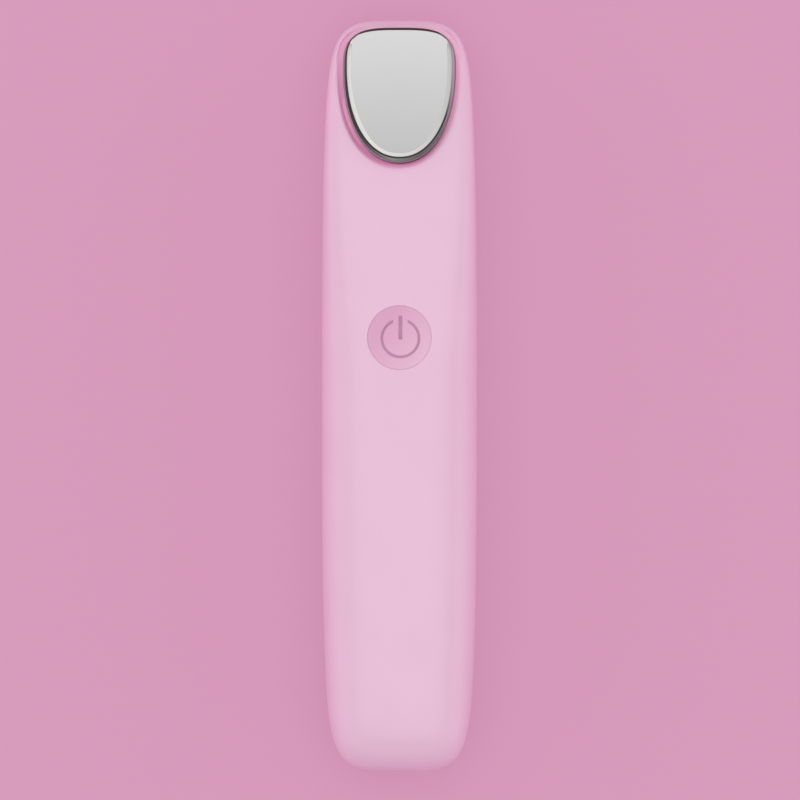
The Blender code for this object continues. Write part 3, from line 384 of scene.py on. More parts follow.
def pill_outline(turn, inset):
    radius = SOCKET_HEIGHT / 2 - inset
    middle = math.copysign((SOCKET_WIDTH - SOCKET_HEIGHT) / 2, math.cos(turn))
    return middle + radius * math.cos(turn), radius * math.sin(turn)


def upright_at(middle):
    """Places an upright form on the wand's middle line."""
    return lambda across, along, up: (across, middle + along, up)


def lying_in_tail(across, up, along):
    """Places a form that lies along the wand, at the height of the parting line."""
    return across, along, chosen("shell").parting + up


def add_banded_stack(name, levels, outline, steps, place):
    """A closed form through copies of an outline, and the lowest and highest level of each of
    its faces. A level is its size and height, and place turns a point across, along and up into
    the body's frame."""
    start_clean()
    bpy.ops.mesh.primitive_circle_add(vertices=steps, radius=1, fill_type="NGON")
    form = take_name(name)
    set_mode("EDIT")
    bpy.ops.mesh.select_all(action="SELECT")
    for _ in levels[1:]:
        bpy.ops.mesh.extrude_region_move(TRANSFORM_OT_translate={"value": (0, 0, 1)})
    set_mode("OBJECT")
    face_outwards(form)
    mesh = form.data
    bands = []
    for face in mesh.polygons:
        numbers = [round(mesh.vertices[corner].co.z) for corner in face.vertices]
        bands.append((min(numbers), max(numbers)))
    for vertex in mesh.vertices:
        size, height = levels[round(vertex.co.z)]
        across, along = outline(math.atan2(vertex.co.y, vertex.co.x), size)
        up = height(across, along) if callable(height) else height
        vertex.co = place(across, along, up)
    mesh.update()
    return form, bands


def add_stack(*description):
    """The form alone, without its faces' levels."""
    return add_banded_stack(*description)[0]


def rounded_rim(start, corner, end, drop, surface, least=None):
    """Levels that bend from a wall into the surface round a hole."""
    levels = []
    for step in range(RIM_STEPS + 1):
        share = step / RIM_STEPS
        size = (1 - share) ** 2 * start + 2 * share * (1 - share) * corner + share**2 * end
        below = (1 - share) ** 2 * drop
        levels.append((size, lowered(surface, below, least and least * (step + 1))))
    return levels


def lowered(surface, below, least=None):
    def height(across, along):
        value = surface(across, along) - below
        return value if least is None else max(value, least)

    return height


def smooth_step(value, start, end):
    share = min(max((value - start) / (end - start), 0), 1)
    return share * share * (3 - 2 * share)


def signed_power(value, power):
    return math.copysign(abs(value) ** power, value)


def end_rounding(share, end_power, corner_power):
    return (1 - share**end_power) ** (1 / corner_power)


def bend_place():
    return chosen("shell").length / 2 - HEAD_LENGTH


def front_line(along):
    past = (along - bend_place()) / HEAD_BEND
    thickness = chosen("shell").thickness
    return thickness - HEAD_BEND * math.log1p(math.exp(past)) * math.tan(HEAD_SLANT)


def body_section(along, wall=0, head_wall=0):
    """Half width, front height, back depth and front squareness of the section at a place."""
    shell = chosen("shell")
    share = min(abs(along) / (shell.length / 2 - wall), 1)
    taper = 1 - TAPER_SHARE * share**TAPER_POWER
    plan = end_rounding(share, PLAN_END_POWER, PLAN_CORNER_POWER)
    half_width = (shell.width / 2 * taper - wall) * plan
    bend = bend_place()
    in_head = smooth_step(along, bend - HEAD_WALL_BEFORE, bend + HEAD_WALL_AFTER)
    in_square = smooth_step(along, bend - SQUARE_BEFORE, bend + SQUARE_AFTER)
    front_wall = wall + (head_wall - wall) * in_head
    front_power = HEAD_END_POWER if along > 0 else TAIL_END_POWER
    front = front_line(along) - shell.parting - front_wall
    front *= end_rounding(share, front_power, SIDE_CORNER_POWER)
    back = shell.parting - BACK_LIFT + BACK_FLAT_DEPTH - wall
    back *= end_rounding(share, TAIL_END_POWER, SIDE_CORNER_POWER)
    squareness = SECTION_POWER + (HEAD_SECTION_POWER - SECTION_POWER) * in_square
    return half_width, front, back, squareness


def front_surface(across, along):
    """Height of the body's front at a place."""
    half_width, front, _, squareness = body_section(along)
    share = min(abs(across) / max(half_width, FIT_GAP), 1)
    parting = chosen("shell").parting
    return parting + front * (1 - share**squareness) ** (1 / squareness)


def add_bar(name, around, stations, wall=0, head_wall=0):
    """The body's whole form, or its hollow's when a wall is given, from a reshaped sphere."""
    start_clean()
    bpy.ops.mesh.primitive_uv_sphere_add(segments=around, ring_count=stations, radius=1)
    form = take_name(name)
    shell = chosen("shell")
    sections = {}
    for vertex in form.data.vertices:
        turn = math.atan2(vertex.co.y, vertex.co.x)
        level = math.asin(min(max(vertex.co.z, -1), 1)) / (math.pi / 2)
        share = math.copysign(1 - (1 - abs(level)) ** END_CROWDING, level)
        along = round(share * (shell.length / 2 - wall), 9)
        if along not in sections:
            sections[along] = body_section(along, wall, head_wall)
        half_width, front, back, squareness = sections[along]
        height, power = (front, squareness) if math.sin(turn) > 0 else (back, SECTION_POWER)
        across = half_width * signed_power(math.cos(turn), 2 / power)
        up = shell.parting + height * signed_power(math.sin(turn), 2 / power)
        vertex.co = (across, along, max(up, BACK_LIFT))
    face_outwards(form)
    return form


def add_slab(name, low, high):
    start_clean()
    low, high = Vector(low), Vector(high)
    bpy.ops.mesh.primitive_cube_add(size=1, location=(low + high) / 2, scale=high - low)
    form = take_name(name)
    bpy.ops.object.transform_apply()
    return form


# The plate's seat: its own frame on the slanted head


def seat_place():
    shell = chosen("shell")
    along = shell.length / 2 - PLATE_SETBACK - PLATE_TOP_REACH * math.cos(HEAD_SLANT)
    up = shell.thickness - (along - bend_place()) * math.tan(HEAD_SLANT)
    return along, up - RECESS_DEPTH / math.cos(HEAD_SLANT)


def seat_to_body(across, along, out):
    place, height = seat_place()
    return (
        across,
        place + along * math.cos(HEAD_SLANT) + out * math.sin(HEAD_SLANT),
        height - along * math.sin(HEAD_SLANT) + out * math.cos(HEAD_SLANT),
    )


def plate_outline(turn, inset):
    half = chosen("head").plate_width / 2
    towards_tip = math.sin(turn) >= 0
    reach = PLATE_TOP_REACH if towards_tip else PLATE_LOW_REACH
    power = PLATE_TOP_POWER if towards_tip else PLATE_LOW_POWER
    across = signed_power(math.cos(turn), 2 / power)
    along = signed_power(math.sin(turn), 2 / power)
    out_across = signed_power(across, power - 1) / half
    out_along = signed_power(along, power - 1) / reach
    length = math.hypot(out_across, out_along)
    return half * across - inset * out_across / length, reach * along - inset * out_along / length


def edge_width(rise):
    """The chamfer's width round the plate, as a share of its full width. The rise is the sine of
    the turn of that place."""
    return (
        1
        - (1 - LOW_CHAMFER_SHARE) * smooth_step(-rise, *LOW_NARROWING)
        - (1 - CORNER_CHAMFER_SHARE) * smooth_step(rise, *CORNER_NARROWING)
        + (TIP_CHAMFER_SHARE - CORNER_CHAMFER_SHARE) * smooth_step(rise, *TIP_WIDENING)
    )


def shrunk_plate(turn, share):
    """The outline of the plate's face, made smaller towards its middle."""
    head = chosen("head")
    inset = head.draft + head.chamfer_width * edge_width(math.sin(turn))
    across, along = plate_outline(turn, inset)
    middle = (PLATE_TOP_REACH - PLATE_LOW_REACH) / 2
    return across * share, middle + (along - middle) * share


def surface_rise(across, along):
    """How far the body's surface is above the recess's floor."""
    rise = RECESS_DEPTH
    for _ in range(4):
        _, place, height = seat_to_body(across, along, rise)
        rise += (front_surface(across, place) - height) * math.cos(HEAD_SLANT)
    return rise


# Finishes


def set_sockets(node, values):
    for socket, value in values.items():
        node.inputs[socket.replace("_", " ")].default_value = value


def add_node(owner, kind, **values):
    """A new node of a material or the world, with some of its sockets set."""
    node = owner.node_tree.nodes.new(f"ShaderNode{kind}")
    set_sockets(node, values)
    return node


def link(source, target):
    source.id_data.links.new(source, target)


def shader_of(finish):
    return finish.node_tree.nodes["Principled BSDF"]


def new_finish(name, colour, roughness, metallic=0, **values):
    finish = bpy.data.materials.new(name)
    finish.use_nodes = True
    values.update(Base_Color=(*colour, 1), Roughness=roughness, Metallic=metallic)
    set_sockets(shader_of(finish), values)
    return finish


def add_noise(finish, scale, detail=3, stretch=(1, 1, 1)):
    place = add_node(finish, "TexCoord")
    turn = add_node(finish, "Mapping", Scale=stretch)
    noise = add_node(finish, "TexNoise", Scale=scale, Detail=detail)
    link(place.outputs["Object"], turn.inputs["Vector"])
    link(turn.outputs["Vector"], noise.inputs["Vector"])
    return noise.outputs["Fac"]


def vary(finish, pattern, socket, low, high):
    """Lets a pattern move a number of the shader between two values."""
    spread = add_node(
        finish, "MapRange", From_Min=NOISE_LOW, From_Max=NOISE_HIGH, To_Min=low, To_Max=high
    )
    link(pattern, spread.inputs["Value"])
    link(spread.outputs["Result"], shader_of(finish).inputs[socket])


def tint(finish, pattern, *colours, low=NOISE_LOW, high=NOISE_HIGH):
    """Lets a pattern mix colours."""
    ramp = add_node(finish, "ValToRGB")
    stops = ramp.color_ramp.elements
    for _ in colours[2:]:
        stops.new(1)
    for number, colour in enumerate(colours):
        stops[number].position = low + (high - low) * number / (len(colours) - 1)
        stops[number].color = (*colour, 1)
    link(pattern, ramp.inputs["Fac"])
    link(ramp.outputs["Color"], shader_of(finish).inputs["Base Color"])


def mottle(finish, pattern, colour, share):
    """Lets a pattern make a colour darker and lighter by a share of it."""
    tint(finish, pattern, scaled(colour, 1 - share), scaled(colour, 1 + share))


def deepen(finish, pattern, colour):
    """Lets a pattern run from a colour to the one that the finish has."""
    socket = shader_of(finish).inputs["Base Color"]
    mix = add_node(finish, "Mix")
    mix.data_type = "RGBA"
    factor, first, second = (mix.inputs[number] for number in (0, 6, 7))  # of its colours
    first.default_value = (*colour, 1)
    link(socket.links[0].from_socket, second)
    link(pattern, factor)
    link(mix.outputs[2], socket)


def reach_along(finish, direction, ends):
    """A pattern that runs from 0 to 1 between two places along a direction."""
    place = add_node(finish, "TexCoord")
    reach = add_node(finish, "VectorMath")
    reach.operation = "DOT_PRODUCT"
    reach.inputs[1].default_value = direction
    spread = add_node(finish, "MapRange", From_Min=ends[0], From_Max=ends[1])
    link(place.outputs["Object"], reach.inputs[0])
    link(reach.outputs["Value"], spread.inputs["Value"])
    return spread.outputs["Result"]


def blend_along(finish, direction, ends, *colours):
    """Lets the colour run through several between two places along a direction."""
    tint(finish, reach_along(finish, direction, ends), *colours, low=0, high=1)


def blend_round(finish, blend, middle, half, *colours):
    """Lets the colour run across a piece, from the place of its middle and half of its width."""
    direction, (first, last) = blend
    start = direction[1] * middle
    blend_along(finish, direction, (start + half * first, start + half * last), *colours)


def roughen(finish, pattern, depth):
    bump = add_node(finish, "Bump", Strength=1, Distance=depth)
    link(pattern, bump.inputs["Height"])
    link(bump.outputs["Normal"], shader_of(finish).inputs["Normal"])


def scaled(colour, factor):
    return tuple(min(part * factor, 1) for part in colour)


def satin_plastic(name, colour, specular=1.0):
    finish = new_finish(name, colour, 0.36, IOR=1.5, Specular_IOR_Level=specular)
    mottle(finish, add_noise(finish, 90), colour, 0.015)
    vary(finish, add_noise(finish, 700), "Roughness", 0.34, 0.39)
    roughen(finish, add_noise(finish, 5200, 2), 0.0000022)
    return finish


def plain_plastic(name, colour, roughness=0.45, grain=3000):
    finish = new_finish(name, colour, roughness)
    mottle(finish, add_noise(finish, 240), colour, 0.07)
    roughen(finish, add_noise(finish, grain, 2), 0.000006)
    return finish


def bare_metal(name, colour, roughness, grain_stretch=(1, 1, 1), scale=900, depth=0.000002):
    finish = new_finish(name, colour, roughness, 1)
    pattern = add_noise(finish, scale, 3, grain_stretch)
    mottle(finish, pattern, colour, 0.04)
    vary(finish, pattern, "Roughness", roughness * 0.85, roughness * 1.15)
    roughen(finish, pattern, depth)
    return finish


def matte_rubber(name, colour):
    finish = new_finish(name, colour, 0.62)
    mottle(finish, add_noise(finish, 400), colour, 0.1)
    roughen(finish, add_noise(finish, 4000, 2), 0.00001)
    return finish


# Outside pieces


def button_place():
    return chosen("shell").length / 2 - chosen("button").from_tip


def front_by_button(across, along):
    """Height of the body's front at a place from the button's middle."""
    return front_surface(across, button_place() + along)


def add_port_cutter():
    tail = -chosen("shell").length / 2
    levels = [
        (-SOCKET_GAP, tail + SOCKET_SETBACK + CUT_OVERRUN),
        (-SOCKET_GAP, tail + PORT_CHAMFER),
        (-SOCKET_GAP - PORT_CHAMFER, tail),
        (-SOCKET_GAP - PORT_CHAMFER, tail - CUT_OVERRUN),
    ]
    port = add_stack("port", levels, pill_outline, ROUND_STEPS, lying_in_tail)
    face_outwards(port)
    return port


def add_recess_cutters():
    head = chosen("head")
    outer = -head.recess_width
    edge, foot, away = outer - RIM_RADIUS, outer + RIM_RADIUS * 2, outer - RIM_RADIUS * 2

    def floor(across, along):
        return min(FLOOR_RISE, max(surface_rise(across, along) - RIM_RADIUS * 2, LEAST_RISE))

    def floor_start(across, along):
        return floor(across, along) * smooth_step(along, -PLATE_LOW_REACH, -PLATE_LOW_REACH / 2)

    def outline(turn, size):
        """The plate's outline, with the recess's wall laid back on the lower right and less so on
        the upper left, and with its rim and wall wider on the lower left."""
        if edge < size < -SEAT_GAP * 2:
            side = math.cos(turn + LAY_TURN)
            lay = smooth_step(side, *LAY_SPAN) + smooth_step(-side, *LEFT_SPAN) * LEFT_LAY
            size = edge + (size - edge) * (1 + WALL_LAY * lay)
        if size < foot:
            spread = WALL_SPREAD * smooth_step(-math.cos(turn - SPREAD_TURN), *SPREAD_SPAN)
            size = foot - (foot - size) * (1 + spread)
        return plate_outline(turn, size)

    rim_start, rim_drop = outer + RIM_RADIUS, RIM_RADIUS * 1.2
    levels = [
        (-SEAT_GAP, -SEAT_DEPTH),
        (-SEAT_GAP, floor_start),
        (foot, lowered(floor, -LEAST_RISE)),
        *rounded_rim(rim_start, outer, edge, rim_drop, surface_rise, LEAST_RISE * 3),
        (away, lowered(surface_rise, -RIM_RADIUS / 3, LEAST_RISE * (RIM_STEPS + 6))),
        (away, head.plate_height + CUT_OVERRUN),
    ]
    recess, bands = add_banded_stack("recess", levels, outline, OUTLINE_STEPS, seat_to_body)
    # The recess's floor, wall and inner rim take the second material, with its painted shade
    for face, (low, high) in zip(recess.data.polygons, bands):
        face.material_index = int(high > 0 and low < RIM_STEPS + 1)
    levels = [(OPENING_INSET, -SEAT_DEPTH * 4), (OPENING_INSET, -SEAT_DEPTH / 2)]
    return recess, add_stack("opening", levels, plate_outline, OUTLINE_STEPS, seat_to_body)


def add_hole_cutter():
    radius = chosen("button").radius
    flange_room = radius + FLANGE_WIDTH + FLANGE_ROOM
    away = radius + HOLE_RIM * 1.6
    levels = [
        (flange_room, LIP_HEIGHT - CUT_OVERRUN * 2),
        (flange_room, LIP_HEIGHT),
        (radius, LIP_HEIGHT),
        *rounded_rim(radius, radius, radius + HOLE_RIM, HOLE_RIM, front_by_button),
        (away, lowered(front_by_button, -HOLE_RIM / 6)),
        (away, chosen("shell").thickness + CUT_OVERRUN),
    ]
    place = upright_at(button_place())
    return add_stack("button_hole", levels, round_outline, ROUND_STEPS, place)


def add_shell(name, low, high):
    """The body's form without its hollow, and without what lies between two heights."""
    sizes = chosen("shell")
    shell = add_bar(name, AROUND, STATIONS)
    cut(shell, add_bar("hollow", HOLLOW_AROUND, HOLLOW_STATIONS, sizes.wall, HEAD_WALL))
    corner = (sizes.width, sizes.length)
    cut(shell, add_slab("half", (-corner[0], -corner[1], low), (*corner, high)))
    return shell


def make_front_shell():
    sizes = chosen("shell")
    shell = add_shell("front_shell", -CUT_OVERRUN, sizes.parting + sizes.seam / 2)
    for tool in (*add_recess_cutters(), add_hole_cutter(), add_port_cutter()):
        cut(shell, tool)
    smooth(shell)
    colours = chosen("colours")
    finish = satin_plastic("pink_shell_finish", colours.shell)
    # The recess takes a deeper colour as painted shade, darker on the left and lighter towards the
    # upper right
    recess_shade = satin_plastic("recess_painted_shade", colours.recess)
    half = chosen("head").plate_width / 2
    blend_round(recess_shade, RECESS_BLEND, seat_place()[0], half, colours.recess, colours.recess_painted_light)
    low, high = Vector(seat_to_body(0, -PLATE_LOW_REACH, 0)), Vector(seat_to_body(0, 0, 0))
    out = Vector(seat_to_body(0, 0, 1)) - high + (high - low) * SHADOW_LEAN / PLATE_LOW_REACH
    level = out.dot(low)
    # Painted shadow under the plate's low end, thinning out towards the tip
    deepen(recess_shade, reach_along(recess_shade, out, (level, level + FLOOR_RISE)), colours.recess_painted_shadow)
    marks = [face.material_index for face in shell.data.polygons]
    dress(shell, "housing", "pink_shell", [finish, recess_shade], "front_housing")
    shell.data.polygons.foreach_set("material_index", marks)


def make_rear_shell():
    sizes = chosen("shell")
    shell = add_shell("rear_shell", sizes.parting - sizes.seam / 2, sizes.thickness + CUT_OVERRUN)
    radius = WELL_RADIUS + WELL_WALL
    post_levels = [(radius, POST_FOOT), (radius, WELL_DEPTH)]
    well_levels = [(WELL_RADIUS, -CUT_OVERRUN), (WELL_RADIUS, WELL_DEPTH - WELL_WALL)]
    posts, wells = (
        copy_to_wells(add_stack(name, levels, round_outline, SMALL_STEPS, upright_at(0)))
        for name, levels in (("well_post", post_levels), ("well", well_levels))
    )
    for post, well in zip(posts, wells):
        cut(shell, post, "UNION")
        cut(shell, well)
    cut(shell, add_port_cutter())
    smooth(shell)
    finish = bpy.data.materials["pink_shell_finish"]
    dress(shell, "housing", "pink_shell", [finish], "rear_housing")


def make_plate():
    """One drawn metal cup: its hollow underside, rolled foot, wall, chamfer and crowned face."""
    head = chosen("head")
    top, inset = head.plate_height, head.draft + head.chamfer_width
    shoulder = top - head.chamfer_height
    lean = head.draft - EDGE_WIDTH
    levels = [
        (head.draft + PLATE_WALL, top - PLATE_FACE),
        (PLATE_WALL, -PLATE_SINK + FOOT_HEIGHT),
        (PLATE_WALL - FOOT_WIDTH, -PLATE_SINK),
        (FOOT_WIDTH / 3, -PLATE_SINK),
        (0, -PLATE_SINK + FOOT_WIDTH / 3),
        (0, FOOT_HEIGHT - FOOT_WIDTH),
        (FOOT_WIDTH * 0.3, FOOT_HEIGHT - FOOT_WIDTH * 0.3),
        (FOOT_WIDTH, FOOT_HEIGHT),
        (lean - SOFTENING, shoulder - EDGE_HEIGHT - SOFTENING * 4),
        (lean, shoulder - EDGE_HEIGHT),
        (lean + SOFTENING, shoulder - EDGE_HEIGHT + SOFTENING),
        (head.draft - SOFTENING, shoulder - SOFTENING),
        (head.draft, shoulder - SOFTENING / 4),
        (head.draft + SOFTENING, shoulder + SOFTENING / 4),
        (head.draft + SOFTENING * 2, shoulder + SOFTENING * 3 / 4),
        (inset - SOFTENING * 2, top - SOFTENING * 3 / 4),
        (inset - SOFTENING, top - SOFTENING / 3),
        (inset, top),
    ]
    # The highest levels of the foot, the wall, the dark line and the chamfer
    foot_level, wall_level, line_level, face_level = 7, 8, len(levels) - 6, len(levels) - 1

    def flatter(height):
        """A height of the plate's edge, which is lower where the chamfer is narrower."""

        def value(across, along):
            if along > 0:
                rise = (along / PLATE_TOP_REACH) ** (PLATE_TOP_POWER / 2)
            else:
                rise = -((-along / PLATE_LOW_REACH) ** (PLATE_LOW_POWER / 2))
            share = min((top - height) / head.chamfer_height, 1)
            return height + (1 - edge_width(rise)) * head.chamfer_height * share

        return value

    levels[wall_level:] = [(size, flatter(height)) for size, height in levels[wall_level:]]
    levels += [(share + 1, top + PLATE_CROWN * (1 - share * share)) for share in FACE_RINGS]

    def outline(turn, size):
        """The chamfer's levels follow its width. A size over 1 stands for a smaller copy of the
        face's own outline."""
        if size >= 1:
            return shrunk_plate(turn, size - 1)
        past = max(size - head.draft, 0) * (1 - edge_width(math.sin(turn))) if size <= inset else 0
        return plate_outline(turn, size - past)

    plate, bands = add_banded_stack("plate", levels, outline, OUTLINE_STEPS, seat_to_body)
    face_outwards(plate)
    colours = chosen("colours")
    ends = seat_to_body(0, -PLATE_LOW_REACH, 0)[1], seat_to_body(0, PLATE_TOP_REACH, 0)[1]
    seat, middle, half = seat_place()[0], (ends[0] + ends[1]) / 2, head.plate_width / 2
    # The foot's colour is painted reflection and shade, lighter on the left
    foot = new_finish("plate_foot_painted_reflection", colours.plate_foot_painted_light, 0.4)
    blend_round(foot, FOOT_BLEND, seat, half, colours.plate_foot_painted_light, colours.plate_foot_right_painted_shade)
    # The wall is painted with reflections, in bands round the plate from the left
    wall = new_finish("plate_wall_painted_reflection", colours.plate_wall_painted_glint, 0.3, Specular_IOR_Level=0.03)
    wall_reflections = [scaled(colours.plate_wall_painted_glint, share) for share in WALL_REFLECTION_SHARES]
    blend_round(wall, WALL_BLEND, seat, half, *wall_reflections, colours.plate_wall_right_painted_reflection)
    # A dark line painted under the chamfer as a reflection, lighter on the right
    line = new_finish("plate_line_painted_reflection", colours.plate_line_painted_dark, 0.35)
    line_right = scaled(colours.plate_wall_right_painted_reflection, LINE_RIGHT_SHADE)
    blend_round(line, LINE_BLEND, seat, half, colours.plate_line_painted_dark, line_right)
    # The chamfer's colour is a painted highlight, bright on the left and dimmer on the right
    chamfer = new_finish("plate_chamfer_painted_highlight", colours.plate_edge_painted_highlight, 0.3, 1)
    blend_round(chamfer, CHAMFER_BLEND, middle, half, colours.plate_edge_right_painted_dim, colours.plate_edge_painted_highlight)
    # The face is polished metal, with a painted reflection that is lighter towards the tip
    face_reflection = new_finish("plate_face_painted_reflection", colours.plate, 0.24, 1)
    blend_along(face_reflection, (0, 1, 0), ends, colours.plate_low_painted_dim, colours.plate)
    vary(face_reflection, add_noise(face_reflection, 1500, 3, (1, 0.05, 1)), "Roughness", 0.23, 0.25)
    finishes = [foot, wall, line, chamfer, face_reflection]
    dress(plate, "housing", "polished_plate", finishes, "massage_plate")
    # Chamfer faces near the tip take the dark line's painted reflection too
    tip = seat_to_body(0, PLATE_TOP_REACH * TIP_LINE_SHARE, top)[1]
    for face, (low, high) in zip(plate.data.polygons, bands):
        if high <= foot_level:
            face.material_index = FOOT
        elif high <= wall_level:
            face.material_index = WALL
        elif high <= line_level or low < face_level and face.center.y > tip:
            face.material_index = LINE
        else:
            face.material_index = FACE if low >= face_level else CHAMFER
    smooth(plate, PLATE_SMOOTH_ANGLE)


def button_top(across, along):
    """Height of the dished cap at a place from the button's middle."""
    button = chosen("button")
    share = min(math.hypot(across, along) / (button.radius - BUTTON_GAP - BUTTON_RIM), 1)
    dip = button.dish * (1 - share * share)
    return front_by_button(across, along) - BUTTON_SETBACK - dip


def make_button():
    middle = button_place()
    radius = chosen("button").radius - BUTTON_GAP
    flange_top = LIP_HEIGHT - FIT_GAP
    dish_radius = radius - BUTTON_RIM
    rim = lowered(front_by_button, BUTTON_SETBACK)
    levels = [
        (STEM_RADIUS, STEM_BOTTOM),
        (STEM_RADIUS, flange_top - FLANGE_THICKNESS),
        (radius + FLANGE_WIDTH, flange_top - FLANGE_THICKNESS),
        (radius + FLANGE_WIDTH, flange_top),
        (radius, flange_top),
        *rounded_rim(radius, radius, dish_radius, BUTTON_RIM, rim),
    ]
    for ring in range(1, DISH_RINGS):
        levels.append((dish_radius * (1 - ring / DISH_RINGS), button_top))
    levels.append((dish_radius * DISH_MIDDLE, button_top))
    cap = add_stack("button_cap", levels, round_outline, ROUND_STEPS, upright_at(middle))
    face_outwards(cap)
    smooth(cap)
    colours = chosen("colours")
    # The cap's colour runs from painted shade at the upper left to painted light at the lower right
    finish = satin_plastic("button_painted_shade", colours.cap, 0.5)
    blend_round(finish, CAP_BLEND, middle, radius, colours.cap, colours.cap_painted_light)
    dress(cap, "button", "pink_shell", [finish], "power_button")


def print_mark(name, grid, place, finish):
    """One thin printed piece on the dished cap: a flat grid that a function bends to its shape."""
    start_clean()
    bpy.ops.mesh.primitive_grid_add(x_subdivisions=grid[0], y_subdivisions=grid[1], size=2)
    mark = take_name(name)
    middle = button_place()
    for vertex in mark.data.vertices:
        across, along = place(vertex.co.x, vertex.co.y)
        across += SYMBOL_SHIFT
        vertex.co = (across, middle + along, button_top(across, along) + SYMBOL_RAISE)
    face_front(mark)
    apply_step(mark, "SOLIDIFY", thickness=SYMBOL_THICKNESS, offset=-1)
    smooth(mark)
    dress(mark, "button", "pink_shell", [finish])


def make_symbol():
    """The generic on and off symbol: a ring that is open at the top, and a bar in the opening."""
    button = chosen("button")
    length = (BAR_HIGH - BAR_LOW) / 2
    corner = button.bar / 5

    def ring(round_share, width_share):
        radius = button.ring_radius - button.stroke * (1 + width_share) / 2
        start = math.asin(SYMBOL_GAP / radius)
        turn = start + (2 * math.pi - 2 * start) * (1 + round_share) / 2
        return radius * math.sin(turn), radius * math.cos(turn) - SYMBOL_DROP

    def bar(width_share, length_share):
        end = max(abs(length_share) * length - (length - corner), 0) / corner
        narrowing = 1 - BAR_NARROWING * (1 - math.sqrt(max(1 - end * end, 0)))
        return width_share * button.bar / 2 * narrowing, BAR_LOW + length * (1 + length_share)

    finish = plain_plastic("symbol_finish", chosen("colours").symbol, 0.5)
    print_mark("power_ring", RING_GRID, ring, finish)
    print_mark("power_bar", BAR_GRID, bar, finish)


def make_socket():
    shell = chosen("shell")
    mouth = -shell.length / 2 + SOCKET_SETBACK
    back = mouth + SOCKET_LENGTH
    roll = SOCKET_METAL / 2
    levels = [
        (0, back),
        (0, mouth + roll),
        (roll * 0.3, mouth + roll * 0.3),
        (roll, mouth),
        (SOCKET_METAL - roll * 0.3, mouth + roll * 0.3),
        (SOCKET_METAL, mouth + roll),
        (SOCKET_METAL, back - SOCKET_METAL),
    ]
    can = add_stack("socket_can", levels, pill_outline, SMALL_STEPS, lying_in_tail)
    face_outwards(can)
    smooth(can)
    steel = bare_metal("socket_steel", (0.62, 0.62, 0.61), 0.26, (1, 0.08, 1), 2200)
    dress(can, "housing", "steel", [steel], "usb_shell")

    def add_block(name, start, half_height):
        low = (-TONGUE_WIDTH / 2, start, shell.parting - half_height)
        high = (TONGUE_WIDTH / 2, back - SOCKET_METAL * 2, shell.parting + half_height)
        return add_slab(name, low, high)

    tongue = add_block("socket_tongue", mouth + TONGUE_SETBACK, TONGUE_THICKNESS / 2)
    cut(tongue, add_block("tongue_base", back - SOCKET_LENGTH / 4, SOCKET_HEIGHT / 3), "UNION")
    at_edges = {"limit_method": "ANGLE", "angle_limit": SMOOTH_ANGLE}
    apply_step(tongue, "BEVEL", width=TONGUE_THICKNESS / 6, segments=3, **at_edges)
    smooth(tongue)
    black = plain_plastic("tongue_black", (0.02, 0.02, 0.02))
    dress(tongue, "housing", "black_plastic", [black], "usb_tongue")
    low = Vector((
        -CONTACT_PITCH * (CONTACT_COUNT - 1) / 2 - CONTACT_SIZE.x / 2,
        mouth + TONGUE_SETBACK + TONGUE_THICKNESS / 2,
        shell.parting + TONGUE_THICKNESS / 2,
    ))
    contacts = add_slab("socket_contacts", low, low + CONTACT_SIZE)
    apply_step(contacts, "BEVEL", width=CONTACT_SIZE.z / 3, segments=2)
    pitch = {"use_constant_offset": True, "constant_offset_displace": (CONTACT_PITCH, 0, 0)}
    apply_step(contacts, "ARRAY", count=CONTACT_COUNT, use_relative_offset=False, **pitch)
    smooth(contacts)
    gold = bare_metal("contact_gold", (0.80, 0.58, 0.25), 0.25)
    dress(contacts, "housing", "steel", [gold])


def make_plugs():
    colour = scaled(chosen("colours").shell, PLUG_SHADE)
    finish = matte_rubber("pink_rubber_finish", colour)
    levels = [
        (PLUG_RADIUS, PLUG_TOP),
        (PLUG_RADIUS, PLUG_EDGE),
        (PLUG_RADIUS - PLUG_EDGE * 0.13, PLUG_EDGE * 0.5),
        (PLUG_RADIUS - PLUG_EDGE * 0.5, PLUG_EDGE * 0.13),
        (PLUG_RADIUS - PLUG_EDGE, 0),
        (PLUG_RADIUS * 0.5, 0),
        (PLUG_RADIUS * 0.42, PLUG_DIMPLE * 0.5),
        (PLUG_RADIUS * 0.3, PLUG_DIMPLE),
        (PLUG_RADIUS * 0.03, PLUG_DIMPLE),
    ]
    model = add_stack("well_plug", levels, round_outline, SMALL_STEPS, upright_at(0))
    face_outwards(model)
    smooth(model)
    for number, plug in enumerate(copy_to_wells(model), 1):
        dress(plug, "housing", "pink_rubber", [finish], f"screw_plug_{number}")


# Finishes of the inner pieces, which keep their own solids


def circuit_green(name):
    """Green lacquer with lighter tracks under it."""
    finish = new_finish(name, (0.02, 0.18, 0.07), 0.35)
    place = add_node(finish, "TexCoord")
    tracks = add_node(
        finish,
        "TexBrick",
        Scale=260,
        Mortar_Size=0.03,
        Color1=(0.015, 0.15, 0.055, 1),
        Color2=(0.02, 0.19, 0.075, 1),
        Mortar=(0.05, 0.30, 0.13, 1),
    )
    link(place.outputs["Object"], tracks.inputs["Vector"])
    link(tracks.outputs["Color"], shader_of(finish).inputs["Base Color"])
    roughen(finish, tracks.outputs["Fac"], 0.00003)
    return finish


